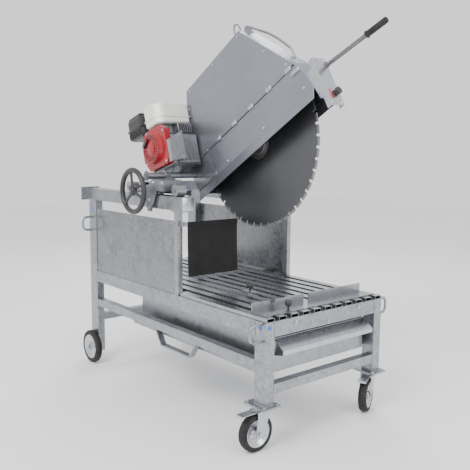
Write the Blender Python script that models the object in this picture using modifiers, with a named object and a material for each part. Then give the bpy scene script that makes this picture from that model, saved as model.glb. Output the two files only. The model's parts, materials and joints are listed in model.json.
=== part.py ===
"""Masonry saw: a wheeled tube frame with a slatted table and a water tray, a carriage that a handwheel
moves along two top beams, and a tilting head that carries the blade, its guard and a petrol engine.

The design frame has x = 0 at the front faces of the front legs (the operator's end), y = 0 on the
centre plane and z = 0 on the floor. The near side is -Y, where the handwheel is. At the end the whole
machine is moved so that the middle of its base is the origin.
"""
import math

import bmesh
import bpy
from mathutils import Euler, Matrix, Vector

# ---- Driving dimensions, in metres -------------------------------------------------------------------
GAP = 0.0003                  # clearance between pieces that touch
WELD = 0.001                  # how far a welded piece runs into the one that it is welded to

FRAME_LENGTH = 1.86           # front faces of the front legs to rear faces of the rear legs
FRAME_WIDTH = 0.90
TABLE_HEIGHT = 0.67           # top of the frame that the slats lie on
BEAM_HEIGHT = 1.164           # underside of the top beams
LEG_BOTTOM = 0.24
REAR_LEG_BOTTOM = 0.086
FRONT_LEG = (0.08, 0.06)      # tube sizes along x and y
REAR_LEG = (0.10, 0.05)
SIDE_RAIL = (0.04, 0.078)     # width along y, height
LOWER_RAIL = 0.05             # square tube
LOWER_RAIL_Z = 0.417
CROSSBAR = (0.05, 0.078)      # depth along x, height
LOWER_CROSSBAR = 0.05
LOWER_CROSSBAR_Z = 0.297
BEAM = 0.08
BEAM_FRONT_X = -0.713
BEAM_REAR_OVERHANG = 0.015
STOP_PLATE = (0.006, 0.14, 0.09)
DRAIN_HOLE = 0.012            # radius of the hole in each stop plate
HEAVY_WALL = 0.004            # wall of the legs and beams
LIGHT_WALL = 0.003            # wall of the rails and crossbars
POST = (0.04, 0.03)
POST_X = -0.775
POST_FLANGE = 0.006
PANEL_SHEET = 0.002
PANEL_TOP = 1.105
HANDLE_BAR = 0.008            # radius of the bent corner handles
HANDLE_REACH = 0.085
HANDLE_HEIGHT = 0.09
REAR_HANDLE_Z = 1.0
FORK_LOOP = (0.42, 0.30, 0.092)   # width at the rail, width at the bottom, depth below the rail
FORK_LOOP_X = -0.80
FORK_BAR = (0.008, 0.04)      # thickness, width

SLAT_COUNT = 11
SLAT = (0.050, 0.020, 0.002)  # width, height, wall
SLAT_PITCH = 0.0835
GRID_BEARER = (0.04, 0.015)
GRID_BEARER_X = (-0.45, -1.05, -1.60)

TRAY = (1.27, 0.70, 0.179)    # length, width, height
TRAY_FRONT_X = -0.05
TRAY_SHEET = 0.002
TRAY_FLOOR = 0.386
RUNNER_SHEET = 0.006
SHELF_RISE = 0.045
SHELF_REACH = 0.072
SHELF_TOP = 0.562
SHELF_LIP = 0.025

FENCE = (0.110, 0.84, 0.050, 0.005)  # base depth, length, height, sheet
FENCE_X = -0.143
FENCE_SLOT = 0.037
KNOB_RADIUS = 0.020
KNOB_STEM = 0.006
FENCE_TRACK = (0.30, 0.0003)  # length and depth of the milled flat that the fence slides on
FENCE_KNOB = (-0.075, -0.225)
STOP_BLOCK = (0.06, 0.06, 0.012)
STOP_X, STOP_Y = -0.512, -0.12

CASTOR_WHEEL = (0.100, 0.050)   # radius, width
CASTOR_PLATE = (0.155, 0.116, 0.010)
CASTOR_X = -0.05
CASTOR_TRAIL = 0.045
CASTOR_TURN = {"near": 0.0, "far": 25.0}
RACEWAY = (0.040, 0.012)      # radius, height
FORK_SHEET = 0.004
FORK_CLEARANCE = 0.006
CASTOR_AXLE = 0.006
WHEEL_PLAY = 0.0005
PEDAL = (0.05, 0.095, 0.004)
REAR_WHEEL = (0.115, 0.045)
REAR_AXLE = 0.010

CURTAIN_SHEET = 0.005
CURTAIN_X = -0.72
CURTAIN_BOTTOM = 0.785
CURTAIN_RAIL = (0.006, 0.016)
CURTAIN_RAIL_Z = 1.083
CURTAIN_DROP = 0.0025         # room between the bar and the curtain, so that it can swing
CURTAIN_TO_BLADE = 0.012

CARRIAGE_X = -1.062           # the head's pivot at rest
BLADE_Y = -0.031              # the blade's plane, which passes between two slats
PIVOT_Z = 1.355
PIVOT_SHAFT = 0.020
CHEEK_SHEET = 0.008
CHEEK_Y = FRAME_WIDTH / 2 - 0.116   # inner face of each carriage cheek
ROLLER = (0.035, 0.060)       # radius, width
ROLLER_SPREAD = 0.26
ROLLER_AXLE = 0.010
RACK_MODULE = 0.004
PINION_TEETH = 20
RACK_WIDTH = 0.022
RACK_REAR_X = -1.64
RACK_LENGTH = 0.70
TOOTH_PLAY = 0.0022
HANDWHEEL_RADIUS = 0.140
HANDWHEEL_RIM = 0.0155
HANDWHEEL_X = -1.085
HANDWHEEL_Y = -(FRAME_WIDTH / 2 + 0.10)
HANDWHEEL_SHAFT = 0.009

HEAD_TILT = 31.0              # degrees above level, as the head stands at rest
BLADE_RADIUS = 0.486
BLADE_CENTRE = (0.541, -0.093)   # from the pivot along and across the head
BLADE_SHEET = 0.0044
BLADE_TEETH = 48
BLADE_SLOT = (0.010, 0.014)   # width and depth
ARBOR = 0.020
FLANGE = (0.070, 0.012)
GUARD_WIDTH = 0.150
GUARD_SHEET = 0.003
COVER_SHEET = 0.003
DOOR_REAR_X = 0.21
SEAM_Z = 0.062
SKIRT_TOP = -0.116
GUARD_BOTTOM = -0.190
SKIRT_FLARE = 25.0            # degrees
DOOR_PIN = 0.006
ARM_SHEET = 0.010
HOUSING = (0.045, 0.062)      # radius, length
PULLEY_WIDTH = 0.034
ENGINE_PULLEY = 0.050
BLADE_PULLEY = 0.090
BELT = (0.008, 0.026)
BELT_COVER = (0.022, 0.108)   # room round the pulleys, depth

ENGINE_CRANK = (0.0231, 0.181)  # the crank axis from the pivot, along and across the head
ENGINE_TILT = 17.0            # degrees above level at rest
ENGINE_FRONT_Y = -0.349       # outer face of the recoil starter
ENGINE_BASE = 0.133           # crank axis above the engine's feet
CRANK_SHAFT = 0.0127
BED_SHEET = 0.005

CONSOLE_X = 1.172
CONSOLE = (0.044, 0.094, 0.28)
HANDLE_ROD = 0.011
HANDLE_LENGTH = 0.407
HANDLE_DROP = 5.95            # degrees below the head's own line
GRIP = (0.016, 0.127)

HALF_WIDTH = FRAME_WIDTH / 2
SLAT_Z = TABLE_HEIGHT + GAP
TABLE_TOP = SLAT_Z + SLAT[1]
BEAM_TOP = BEAM_HEIGHT + BEAM
GUARD_HALF = GUARD_WIDTH / 2
PINION_RADIUS = RACK_MODULE * PINION_TEETH / 2
CURTAIN_EDGE_Y = BLADE_Y - CURTAIN_TO_BLADE
SIDES = {"near": -1, "far": 1}

# ---- Materials ---------------------------------------------------------------------------------------
COLOURS = {
    "galvanised": ((0.52, 0.54, 0.56), 0.38, 1.0),
    "sheet": ((0.56, 0.58, 0.62), 0.34, 1.0),
    "bright_zinc": ((0.72, 0.73, 0.74), 0.25, 1.0),
    "steel": ((0.45, 0.45, 0.46), 0.35, 1.0),
    "blade_steel": ((0.35, 0.36, 0.37), 0.40, 1.0),
    "rubber": ((0.02, 0.02, 0.022), 0.75, 0.0),
    "black_plastic": ((0.015, 0.015, 0.017), 0.45, 0.0),
    "red_paint": ((0.55, 0.01, 0.02), 0.30, 0.0),
    "tank_paint": ((0.80, 0.81, 0.76), 0.28, 0.0),
    "cast_aluminium": ((0.55, 0.56, 0.57), 0.50, 1.0),
}


def material(name):
    """The named finish, made once."""
    found = bpy.data.materials.get(name)
    if found:
        return found
    made = bpy.data.materials.new(name)
    made.use_nodes = True
    colour, roughness, metallic = COLOURS[name]
    shader = made.node_tree.nodes["Principled BSDF"]
    shader.inputs["Base Color"].default_value = (*colour, 1.0)
    shader.inputs["Roughness"].default_value = roughness
    shader.inputs["Metallic"].default_value = metallic
    return made


# ---- Scene and helpers -------------------------------------------------------------------------------
for old in list(bpy.data.objects):
    bpy.data.objects.remove(old, do_unlink=True)

PARTS = bpy.data.collections.new("masonry_saw")
CUTTERS = bpy.data.collections.new("cutters")
bpy.context.scene.collection.children.link(PARTS)
bpy.context.scene.collection.children.link(CUTTERS)


def empty(name, location=(0, 0, 0), parent=None, turn=(0, 0, 0)):
    """A parent frame; turn is in degrees about x, y and z."""
    made = bpy.data.objects.new(name, None)
    PARTS.objects.link(made)
    made.parent = parent
    made.location = location
    made.rotation_euler = Euler([math.radians(angle) for angle in turn])
    return made


def place(data, name, finish, parent, location=(0, 0, 0), rotation=None):
    """Put mesh or curve data in the scene as one named piece."""
    made = bpy.data.objects.new(name, data)
    PARTS.objects.link(made)
    made.parent = parent
    made.location = location
    if rotation is not None:
        made.rotation_euler = rotation
    if finish:
        data.materials.append(material(finish))
    return made


def to_mesh(source):
    """Swap a curve or a modified mesh for the closed mesh that it evaluates to."""
    bpy.context.view_layer.update()
    evaluated = source.evaluated_get(bpy.context.evaluated_depsgraph_get())
    mesh = bpy.data.meshes.new_from_object(evaluated)
    shape = bmesh.new()
    shape.from_mesh(mesh)
    bmesh.ops.remove_doubles(shape, verts=shape.verts, dist=0.00002)
    bmesh.ops.recalc_face_normals(shape, faces=shape.faces)
    shape.to_mesh(mesh)
    shape.free()
    name, parent = source.name, source.parent
    placed = bpy.data.objects.new(name + "_mesh", mesh)
    PARTS.objects.link(placed)
    placed.parent = parent
    placed.location = source.location
    placed.rotation_euler = source.rotation_euler
    bpy.data.objects.remove(source, do_unlink=True)
    placed.name = name
    return placed


def shade(piece, angle=35):
    """Smooth round faces and keep the edges crisp."""
    piece.data.shade_smooth()
    piece.data.set_sharp_from_angle(angle=math.radians(angle))
    return piece


def box(name, low, high, finish=None, parent=None, bevel=0.0):
    """A block between two corners, with rounded edges if bevel is given."""
    size = Vector(high) - Vector(low)
    shape = bmesh.new()
    bmesh.ops.create_cube(shape, size=1.0)
    bmesh.ops.scale(shape, vec=size, verts=shape.verts)
    mesh = bpy.data.meshes.new(name)
    shape.to_mesh(mesh)
    shape.free()
    made = place(mesh, name, finish, parent, (Vector(low) + Vector(high)) / 2)
    if bevel:
        edge = made.modifiers.new("edges", "BEVEL")
        edge.width = bevel
        edge.segments = 2
    return made


def rod(name, start, end, radius, finish=None, parent=None, segments=24, far_radius=None):
    """A round bar or a cone between two points."""
    line = Vector(end) - Vector(start)
    shape = bmesh.new()
    bmesh.ops.create_cone(
        shape,
        cap_ends=True,
        segments=segments,
        radius1=radius,
        radius2=radius if far_radius is None else far_radius,
        depth=line.length,
    )
    mesh = bpy.data.meshes.new(name)
    shape.to_mesh(mesh)
    shape.free()
    middle = (Vector(start) + Vector(end)) / 2
    made = place(mesh, name, finish, parent, middle, line.to_track_quat("Z", "Y").to_euler())
    return shade(made)


def ball(name, centre, radius, finish=None, parent=None):
    shape = bmesh.new()
    bmesh.ops.create_uvsphere(shape, u_segments=16, v_segments=8, radius=radius)
    mesh = bpy.data.meshes.new(name)
    shape.to_mesh(mesh)
    shape.free()
    return shade(place(mesh, name, finish, parent, centre), 80)


PLANES = {
    "xy": Euler((0, 0, 0)),
    "xz": Euler((math.radians(90), 0, 0)),
    "yz": Euler((math.radians(90), 0, math.radians(90))),
}


def plate(name, outlines, plane, low, high, finish=None, parent=None):
    """A flat piece: outlines in the plane (the first is the edge, the rest are holes), low to high across it."""
    curve = bpy.data.curves.new(name, "CURVE")
    curve.dimensions = "2D"
    curve.fill_mode = "BOTH"
    curve.extrude = (high - low) / 2
    for outline in outlines:
        spline = curve.splines.new("POLY")
        spline.points.add(len(outline) - 1)
        for point, (across, up) in zip(spline.points, outline):
            point.co = (across, up, 0, 1)
        spline.use_cyclic_u = True
    middle = (low + high) / 2
    location = {"xy": (0, 0, middle), "xz": (0, middle, 0), "yz": (middle, 0, 0)}[plane]
    return to_mesh(place(curve, name, finish, parent, location, PLANES[plane]))


def bent_bar(name, points, radius, finish=None, parent=None, sides=3):
    """A round bar along a line of points."""
    curve = bpy.data.curves.new(name, "CURVE")
    curve.dimensions = "3D"
    curve.bevel_depth = radius
    curve.bevel_resolution = sides
    curve.use_fill_caps = True
    spline = curve.splines.new("POLY")
    spline.points.add(len(points) - 1)
    for point, where in zip(spline.points, points):
        point.co = (*where, 1)
    return shade(to_mesh(place(curve, name, finish, parent)))


def turned(name, profile, finish, parent, location, axis="z", segments=32):
    """A closed profile of (radius, height) points turned round an axis."""
    shape = bmesh.new()
    points = [shape.verts.new((radius, 0, height)) for radius, height in profile]
    for first, second in zip(points, points[1:] + points[:1]):
        shape.edges.new((first, second))
    mesh = bpy.data.meshes.new(name)
    shape.to_mesh(mesh)
    shape.free()
    turn = {"z": (0, 0, 0), "y": (math.radians(-90), 0, 0), "x": (0, math.radians(90), 0)}[axis]
    made = place(mesh, name, finish, parent, location, Euler(turn))
    screw = made.modifiers.new("turn", "SCREW")
    screw.steps = segments
    screw.render_steps = segments
    screw.use_merge_vertices = True
    screw.merge_threshold = 0.00005
    return shade(to_mesh(made))


def boolean(target, tool, operation):
    """Cut a tool out of a piece, or weld it on; the tool goes to the cutters."""
    step = target.modifiers.new(operation.lower() + "_" + tool.name, "BOOLEAN")
    step.operation = operation
    step.object = tool
    step.solver = "EXACT"
    tool.hide_render = True
    tool.display_type = "WIRE"
    if tool.name in PARTS.objects:
        PARTS.objects.unlink(tool)
        CUTTERS.objects.link(tool)
    return target


def weld(target, *tools):
    for tool in tools:
        boolean(target, tool, "UNION")
    return target


def cut(target, *tools):
    for tool in tools:
        boolean(target, tool, "DIFFERENCE")
    return target


def arc(centre, radius, start, end, count):
    """Points round part of a circle, in degrees."""
    steps = [math.radians(start + (end - start) * index / (count - 1)) for index in range(count)]
    return [(centre[0] + radius * math.cos(a), centre[1] + radius * math.sin(a)) for a in steps]


def belt_outline(first, first_radius, second, second_radius, count=20):
    """The outline round two circles that a belt would take."""
    line = Vector(second) - Vector(first)
    heading = math.degrees(math.atan2(line.y, line.x))
    open_angle = math.degrees(math.acos((first_radius - second_radius) / line.length))
    return arc(first, first_radius, heading + open_angle, heading + 360 - open_angle, count) + arc(
        second, second_radius, heading - open_angle, heading + open_angle, count
    )


def rounded_path(points, radius, count=5):
    """A line through 3-D points with its inner corners rounded."""
    route = [Vector(points[0])]
    for before, corner, after in zip(points, points[1:], points[2:]):
        corner = Vector(corner)
        back = (Vector(before) - corner).normalized()
        ahead = (Vector(after) - corner).normalized()
        start = corner + back * radius
        end = corner + ahead * radius
        for index in range(count):
            share = index / (count - 1)
            route.append(start.lerp(corner, share).lerp(corner.lerp(end, share), share))
    route.append(Vector(points[-1]))
    return route


def tube(name, low, high, axis, wall, open_low=True, open_high=True, finish=None, parent=None):
    """A square tube along an axis (0, 1 or 2), open or closed at each end."""
    low, high = Vector(low), Vector(high)
    outer = box(name, low, high, finish, parent)
    inner_low = low + Vector((wall, wall, wall))
    inner_high = high - Vector((wall, wall, wall))
    if open_low:
        inner_low[axis] = low[axis] - 0.01
    if open_high:
        inner_high[axis] = high[axis] + 0.01
    return cut(outer, box(name + "_bore", inner_low, inner_high, None, parent))


def mirrored(side, low, high):
    """The block's corners on the near (-1) or far (+1) side, given for the far side."""
    low, high = Vector(low), Vector(high)
    if side < 0:
        low.y, high.y = -high.y, -low.y
    return low, high


ROOT = empty("machine")


# ---- Frame -------------------------------------------------------------------------------------------
def corner_handle(name, side, x, z_top):
    """A bent round bar that stands out sideways from a leg."""
    inner = side * (HALF_WIDTH - 0.008)
    outer = side * (HALF_WIDTH + HANDLE_REACH - HANDLE_BAR)
    z_low = z_top - HANDLE_HEIGHT
    points = [(x, inner, z_top), (x, outer, z_top), (x, outer, z_low), (x, inner, z_low)]
    return bent_bar(name, rounded_path(points, 0.035), HANDLE_BAR, None, ROOT)


def front_leg(side_name):
    side = SIDES[side_name]
    depth, width = FRONT_LEG
    low, high = mirrored(side, (-depth, HALF_WIDTH - width, LEG_BOTTOM - WELD), (0, HALF_WIDTH, TABLE_HEIGHT))
    leg = tube("front_leg_" + side_name, low, high, 2, HEAVY_WALL, False, True, "galvanised", ROOT)
    middle = side * (HALF_WIDTH - width / 2)
    length, across, thick = CASTOR_PLATE
    foot = box(
        "foot",
        (CASTOR_X - length / 2, middle - across / 2, LEG_BOTTOM - thick),
        (CASTOR_X + length / 2, middle + across / 2, LEG_BOTTOM),
        None,
        ROOT,
    )
    race_top = LEG_BOTTOM - thick + WELD
    race = rod(
        "raceway",
        (CASTOR_X, middle, race_top),
        (CASTOR_X, middle, LEG_BOTTOM - thick - RACEWAY[1]),
        RACEWAY[0],
        None,
        ROOT,
    )
    handle = corner_handle("handle", side, -0.03, TABLE_HEIGHT - HANDLE_BAR)
    return weld(leg, foot, race, handle)


def rear_leg(side_name):
    side = SIDES[side_name]
    depth, width = REAR_LEG
    low, high = mirrored(
        side,
        (-FRAME_LENGTH, HALF_WIDTH - width, REAR_LEG_BOTTOM),
        (-FRAME_LENGTH + depth, HALF_WIDTH, BEAM_HEIGHT - GAP),
    )
    leg = tube("rear_leg_" + side_name, low, high, 2, HEAVY_WALL, True, False, "galvanised", ROOT)
    x = -FRAME_LENGTH + depth / 2
    outer = HALF_WIDTH + REAR_WHEEL[1] + 0.003
    axle = rod(
        "axle",
        (x, side * (HALF_WIDTH - 0.01), REAR_WHEEL[0]),
        (x, side * (outer + 0.008), REAR_WHEEL[0]),
        REAR_AXLE,
        None,
        ROOT,
    )
    cap = rod(
        "axle_nut",
        (x, side * outer, REAR_WHEEL[0]),
        (x, side * (outer + 0.007), REAR_WHEEL[0]),
        REAR_AXLE + 0.008,
        None,
        ROOT,
        segments=6,
    )
    handle = corner_handle("handle", side, x, REAR_HANDLE_Z + HANDLE_HEIGHT / 2)
    return weld(leg, axle, cap, handle)


def side_rail(side_name):
    """The wide rail beside the table, with the mid post that holds up the beam."""
    side = SIDES[side_name]
    rear = -FRAME_LENGTH + REAR_LEG[0] + GAP
    front = -FRONT_LEG[0] - GAP
    low, high = mirrored(
        side,
        (rear, HALF_WIDTH - SIDE_RAIL[0], TABLE_HEIGHT - SIDE_RAIL[1]),
        (front, HALF_WIDTH, TABLE_HEIGHT),
    )
    rail = tube("side_rail_" + side_name, low, high, 0, LIGHT_WALL, True, True, "galvanised", ROOT)
    post_top = BEAM_HEIGHT - GAP
    low, high = mirrored(
        side,
        (POST_X - POST[0] / 2, HALF_WIDTH - POST[1], TABLE_HEIGHT - WELD),
        (POST_X + POST[0] / 2, HALF_WIDTH, post_top - POST_FLANGE + WELD),
    )
    post = box("post", low, high, None, ROOT)
    low, high = mirrored(
        side,
        (POST_X - 0.05, HALF_WIDTH - BEAM, post_top - POST_FLANGE),
        (POST_X + 0.055, HALF_WIDTH, post_top),
    )
    flange = box("post_flange", low, high, None, ROOT)
    weld(rail, post, flange)
    if side < 0:
        thick, tall = CURTAIN_RAIL
        bar = box(
            "curtain_bar",
            (CURTAIN_X - thick / 2, -HALF_WIDTH + POST[1] - 0.015, CURTAIN_RAIL_Z),
            (CURTAIN_X + thick / 2, CURTAIN_EDGE_Y, CURTAIN_RAIL_Z + tall),
            None,
            ROOT,
        )
        bracket = box(
            "curtain_bracket",
            (POST_X + POST[0] / 2 - WELD, -HALF_WIDTH + 0.010, CURTAIN_RAIL_Z - 0.005),
            (CURTAIN_X + thick / 2 - WELD, -HALF_WIDTH + POST[1], CURTAIN_RAIL_Z + tall + 0.005),
            None,
            ROOT,
        )
        weld(rail, bar, bracket)
    return rail


def lower_rail(side_name):
    """The lower rail with the runner that the tray slides on and the loop that a lifting fork goes in."""
    side = SIDES[side_name]
    rear = -FRAME_LENGTH + REAR_LEG[0] + GAP
    front = -FRONT_LEG[0] - GAP
    top = LOWER_RAIL_Z + LOWER_RAIL
    inner = HALF_WIDTH - LOWER_RAIL
    low, high = mirrored(side, (rear, inner, LOWER_RAIL_Z), (front, HALF_WIDTH, top))
    rail = tube("lower_rail_" + side_name, low, high, 0, LIGHT_WALL, True, True, "galvanised", ROOT)
    runner_top = TRAY_FLOOR - GAP
    runner_rear = TRAY_FRONT_X - TRAY[0] - 0.02
    web = mirrored(
        side,
        (runner_rear, inner + WELD, runner_top - RUNNER_SHEET),
        (front - 0.01, inner + WELD + RUNNER_SHEET, LOWER_RAIL_Z + WELD),
    )
    shelf = mirrored(
        side,
        (runner_rear, TRAY[1] / 2 - 0.02, runner_top - RUNNER_SHEET),
        (front - 0.01, inner + WELD + RUNNER_SHEET, runner_top),
    )
    weld(rail, box("runner_web", *web, None, ROOT), box("runner_shelf", *shelf, None, ROOT))
    wide, narrow, deep = FORK_LOOP
    thick, across = FORK_BAR
    slope = (wide - narrow) / 2 / deep
    top = LOWER_RAIL_Z + WELD
    bottom = LOWER_RAIL_Z - deep
    outer = [
        (FORK_LOOP_X - wide / 2 - WELD * slope, top),
        (FORK_LOOP_X - narrow / 2, bottom),
        (FORK_LOOP_X + narrow / 2, bottom),
        (FORK_LOOP_X + wide / 2 + WELD * slope, top),
    ]
    side_thick = thick * math.hypot(1, slope)
    inner_line = [
        (outer[3][0] - side_thick, top),
        (outer[2][0] - side_thick + slope * thick, bottom + thick),
        (outer[1][0] + side_thick - slope * thick, bottom + thick),
        (outer[0][0] + side_thick, top),
    ]
    middle = side * (HALF_WIDTH - across / 2)
    reach = across / 2 - WELD
    loop = plate("fork_loop", [outer + inner_line], "xz", middle - reach, middle + reach, None, ROOT)
    return weld(rail, loop)


def crossbars():
    """The four square tubes across the machine, open at the ends that butt on the legs and rails."""
    front_inner = HALF_WIDTH - FRONT_LEG[1] - GAP
    rail_inner = HALF_WIDTH - SIDE_RAIL[0] - GAP
    rear_inner = HALF_WIDTH - REAR_LEG[1] - GAP
    depth, height = CROSSBAR
    rear = -FRAME_LENGTH + REAR_LEG[0] + GAP
    low_rear = -FRAME_LENGTH + 0.01
    bars = (
        ("front_upper_crossbar", -depth, 0, front_inner, TABLE_HEIGHT - height, height),
        ("front_lower_crossbar", -LOWER_CROSSBAR, 0, front_inner, LOWER_CROSSBAR_Z, LOWER_CROSSBAR),
        ("rear_upper_crossbar", rear, rear + depth, rail_inner, TABLE_HEIGHT - height, height),
        ("rear_lower_crossbar", low_rear, low_rear + LOWER_CROSSBAR, rear_inner, LOWER_CROSSBAR_Z, LOWER_CROSSBAR),
    )
    for name, back, front, half, low_z, tall in bars:
        low, high = (back, -half, low_z), (front, half, low_z + tall)
        tube(name, low, high, 1, LIGHT_WALL, True, True, "galvanised", ROOT)


def rack_outline():
    """The toothed bar's outline in x and z; its pitch line is PINION_RADIUS below the handwheel's axis."""
    pitch = math.pi * RACK_MODULE
    line = PINION_Z - PINION_RADIUS
    crown, root = line + 0.8 * RACK_MODULE, line - RACK_MODULE
    half_tip = 0.25 * pitch - TOOTH_PLAY / 2 - 0.0010
    half_root = 0.25 * pitch - TOOTH_PLAY / 2 + 0.0010
    teeth = int(RACK_LENGTH / pitch)
    first = HANDWHEEL_X - round((HANDWHEEL_X - RACK_REAR_X) / pitch) * pitch
    points = [(first - pitch, line - 0.03), (first - pitch, root)]
    for index in range(teeth):
        x = first + index * pitch
        points += [(x - half_root, root), (x - half_tip, crown), (x + half_tip, crown), (x + half_root, root)]
    return points + [(first + teeth * pitch, root), (first + teeth * pitch, line - 0.03)]


def pinion_outline():
    """A toothed wheel round the origin, with a tooth space straight below it."""
    points = []
    crown, root = PINION_RADIUS + 0.8 * RACK_MODULE, PINION_RADIUS - RACK_MODULE
    half_tip = (0.25 * math.pi * RACK_MODULE - TOOTH_PLAY / 2 - 0.0012) / PINION_RADIUS
    half_root = (0.25 * math.pi * RACK_MODULE - TOOTH_PLAY / 2 + 0.0006) / PINION_RADIUS
    for index in range(PINION_TEETH):
        middle = math.radians(-90) + (index + 0.5) * 2 * math.pi / PINION_TEETH
        for offset, radius in ((-half_root, root), (-half_tip, crown), (half_tip, crown), (half_root, root)):
            points.append((radius * math.cos(middle + offset), radius * math.sin(middle + offset)))
    return points


def beam(side_name):
    side = SIDES[side_name]
    rear = -FRAME_LENGTH - BEAM_REAR_OVERHANG
    low, high = mirrored(side, (rear, HALF_WIDTH - BEAM, BEAM_HEIGHT), (BEAM_FRONT_X, HALF_WIDTH, BEAM_TOP))
    made = tube("beam_" + side_name, low, high, 0, HEAVY_WALL, True, False, "galvanised", ROOT)
    thick, wide, tall = STOP_PLATE
    low, high = mirrored(
        side,
        (rear - thick, HALF_WIDTH - BEAM - 0.01, BEAM_HEIGHT - 0.002),
        (rear + WELD, HALF_WIDTH - BEAM - 0.01 + wide, BEAM_HEIGHT - 0.002 + tall),
    )
    weld(made, box("stop_plate", low, high, None, ROOT))
    middle = Vector((rear, side * (HALF_WIDTH - BEAM / 2), BEAM_HEIGHT + BEAM / 2))
    reach = Vector((thick + 0.01, 0, 0))
    cut(made, rod("drain_hole", middle - reach, middle + reach, DRAIN_HOLE, None, ROOT, 16))
    if side < 0:
        inner = -HALF_WIDTH + BEAM
        weld(made, plate("rack", [rack_outline()], "xz", inner - WELD, inner + RACK_WIDTH, None, ROOT))
    return made


def splash_panel(side_name):
    side = SIDES[side_name]
    low, high = mirrored(
        side,
        (-FRAME_LENGTH + REAR_LEG[0] + GAP, HALF_WIDTH - 0.004 - PANEL_SHEET, TABLE_HEIGHT + GAP),
        (POST_X - POST[0] / 2 - GAP, HALF_WIDTH - 0.004, PANEL_TOP),
    )
    return box("splash_panel_" + side_name, low, high, "sheet", ROOT)


def curtain():
    hinge = empty("curtain_hinge", (CURTAIN_X, 0, CURTAIN_RAIL_Z - GAP), ROOT)
    near = -HALF_WIDTH + POST[1] + 0.012
    box(
        "rubber_curtain",
        (-CURTAIN_SHEET / 2, near, CURTAIN_BOTTOM - CURTAIN_RAIL_Z),
        (CURTAIN_SHEET / 2, CURTAIN_EDGE_Y, -CURTAIN_DROP),
        "rubber",
        hinge,
    )


def table_grid():
    """Open tubes side by side, welded on cross bearers; those that meet the posts stop in front of them."""
    width, height, wall = SLAT
    rear = -FRAME_LENGTH + REAR_LEG[0] + GAP + 0.003
    outer = (SLAT_COUNT - 1) / 2
    bearer_end = HALF_WIDTH - SIDE_RAIL[0] - 0.004
    grid = None
    for x in GRID_BEARER_X:
        bearer = box(
            "table_grid" if grid is None else "bearer",
            (x - GRID_BEARER[0] / 2, -bearer_end, SLAT_Z - GRID_BEARER[1]),
            (x + GRID_BEARER[0] / 2, bearer_end, SLAT_Z + wall / 2),
            "galvanised",
            ROOT,
        )
        grid = bearer if grid is None else weld(grid, bearer)
    for index in range(SLAT_COUNT):
        y = (index - outer) * SLAT_PITCH
        edge = [(y - width / 2, SLAT_Z), (y + width / 2, SLAT_Z)]
        edge += [(y + width / 2, SLAT_Z + height), (y - width / 2, SLAT_Z + height)]
        hole = [(y - width / 2 + wall, SLAT_Z + wall), (y + width / 2 - wall, SLAT_Z + wall)]
        hole += [(y + width / 2 - wall, SLAT_Z + height - wall), (y - width / 2 + wall, SLAT_Z + height - wall)]
        beside_post = abs(y) + width / 2 > HALF_WIDTH - POST[1] - 0.003
        end = POST_X + POST[0] / 2 + 0.004 if beside_post else rear
        weld(grid, plate("slat", [edge, hole], "yz", end, 0, None, ROOT))
    length, deep = FENCE_TRACK
    low = (-length, -HALF_WIDTH, TABLE_TOP - deep)
    return cut(grid, box("fence_track", low, (0.01, HALF_WIDTH, TABLE_TOP + 0.01), None, ROOT))


def water_tray():
    slide = empty("tray_slide", (TRAY_FRONT_X, 0, TRAY_FLOOR), ROOT)
    length, width, height = TRAY
    tray = box("water_tray", (-length, -width / 2, 0), (0, width / 2, height), "sheet", slide)
    inside = box(
        "tray_inside",
        (-length + TRAY_SHEET, -width / 2 + TRAY_SHEET, TRAY_SHEET),
        (-TRAY_SHEET, width / 2 - TRAY_SHEET, height + 0.05),
        None,
        slide,
    )
    cut(tray, inside)
    top = SHELF_TOP - TRAY_FLOOR
    outline = [
        (GAP, top),
        (SHELF_REACH, top - SHELF_RISE),
        (SHELF_REACH, top - SHELF_RISE - SHELF_LIP),
        (SHELF_REACH - TRAY_SHEET, top - SHELF_RISE - SHELF_LIP),
        (SHELF_REACH - TRAY_SHEET, top - SHELF_RISE - TRAY_SHEET),
        (GAP, top - TRAY_SHEET),
    ]
    shelf = plate("drip_shelf", [outline], "xz", -width / 2, width / 2, "bright_zinc", slide)
    cheek = [
        (GAP, top - TRAY_SHEET / 2),
        (SHELF_REACH - WELD, top - SHELF_RISE - TRAY_SHEET / 2),
        (SHELF_REACH - WELD, top - SHELF_RISE - SHELF_LIP),
        (GAP, top - 0.085),
    ]
    for side in SIDES.values():
        low, high = sorted((side * (width / 2 - 0.0005), side * (width / 2 - 0.0035)))
        weld(shelf, plate("shelf_cheek", [cheek], "xz", low, high, None, slide))


def knob(name, centre_x, y, z, parent):
    """A ball knob on a short stem."""
    grip = ball(name, (centre_x, y, z + 0.012 + KNOB_RADIUS), KNOB_RADIUS, "black_plastic", parent)
    stem = rod(name + "_stem", (centre_x, y, z), (centre_x, y, z + 0.02), KNOB_STEM, None, parent, 16)
    return weld(grip, stem)


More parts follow.
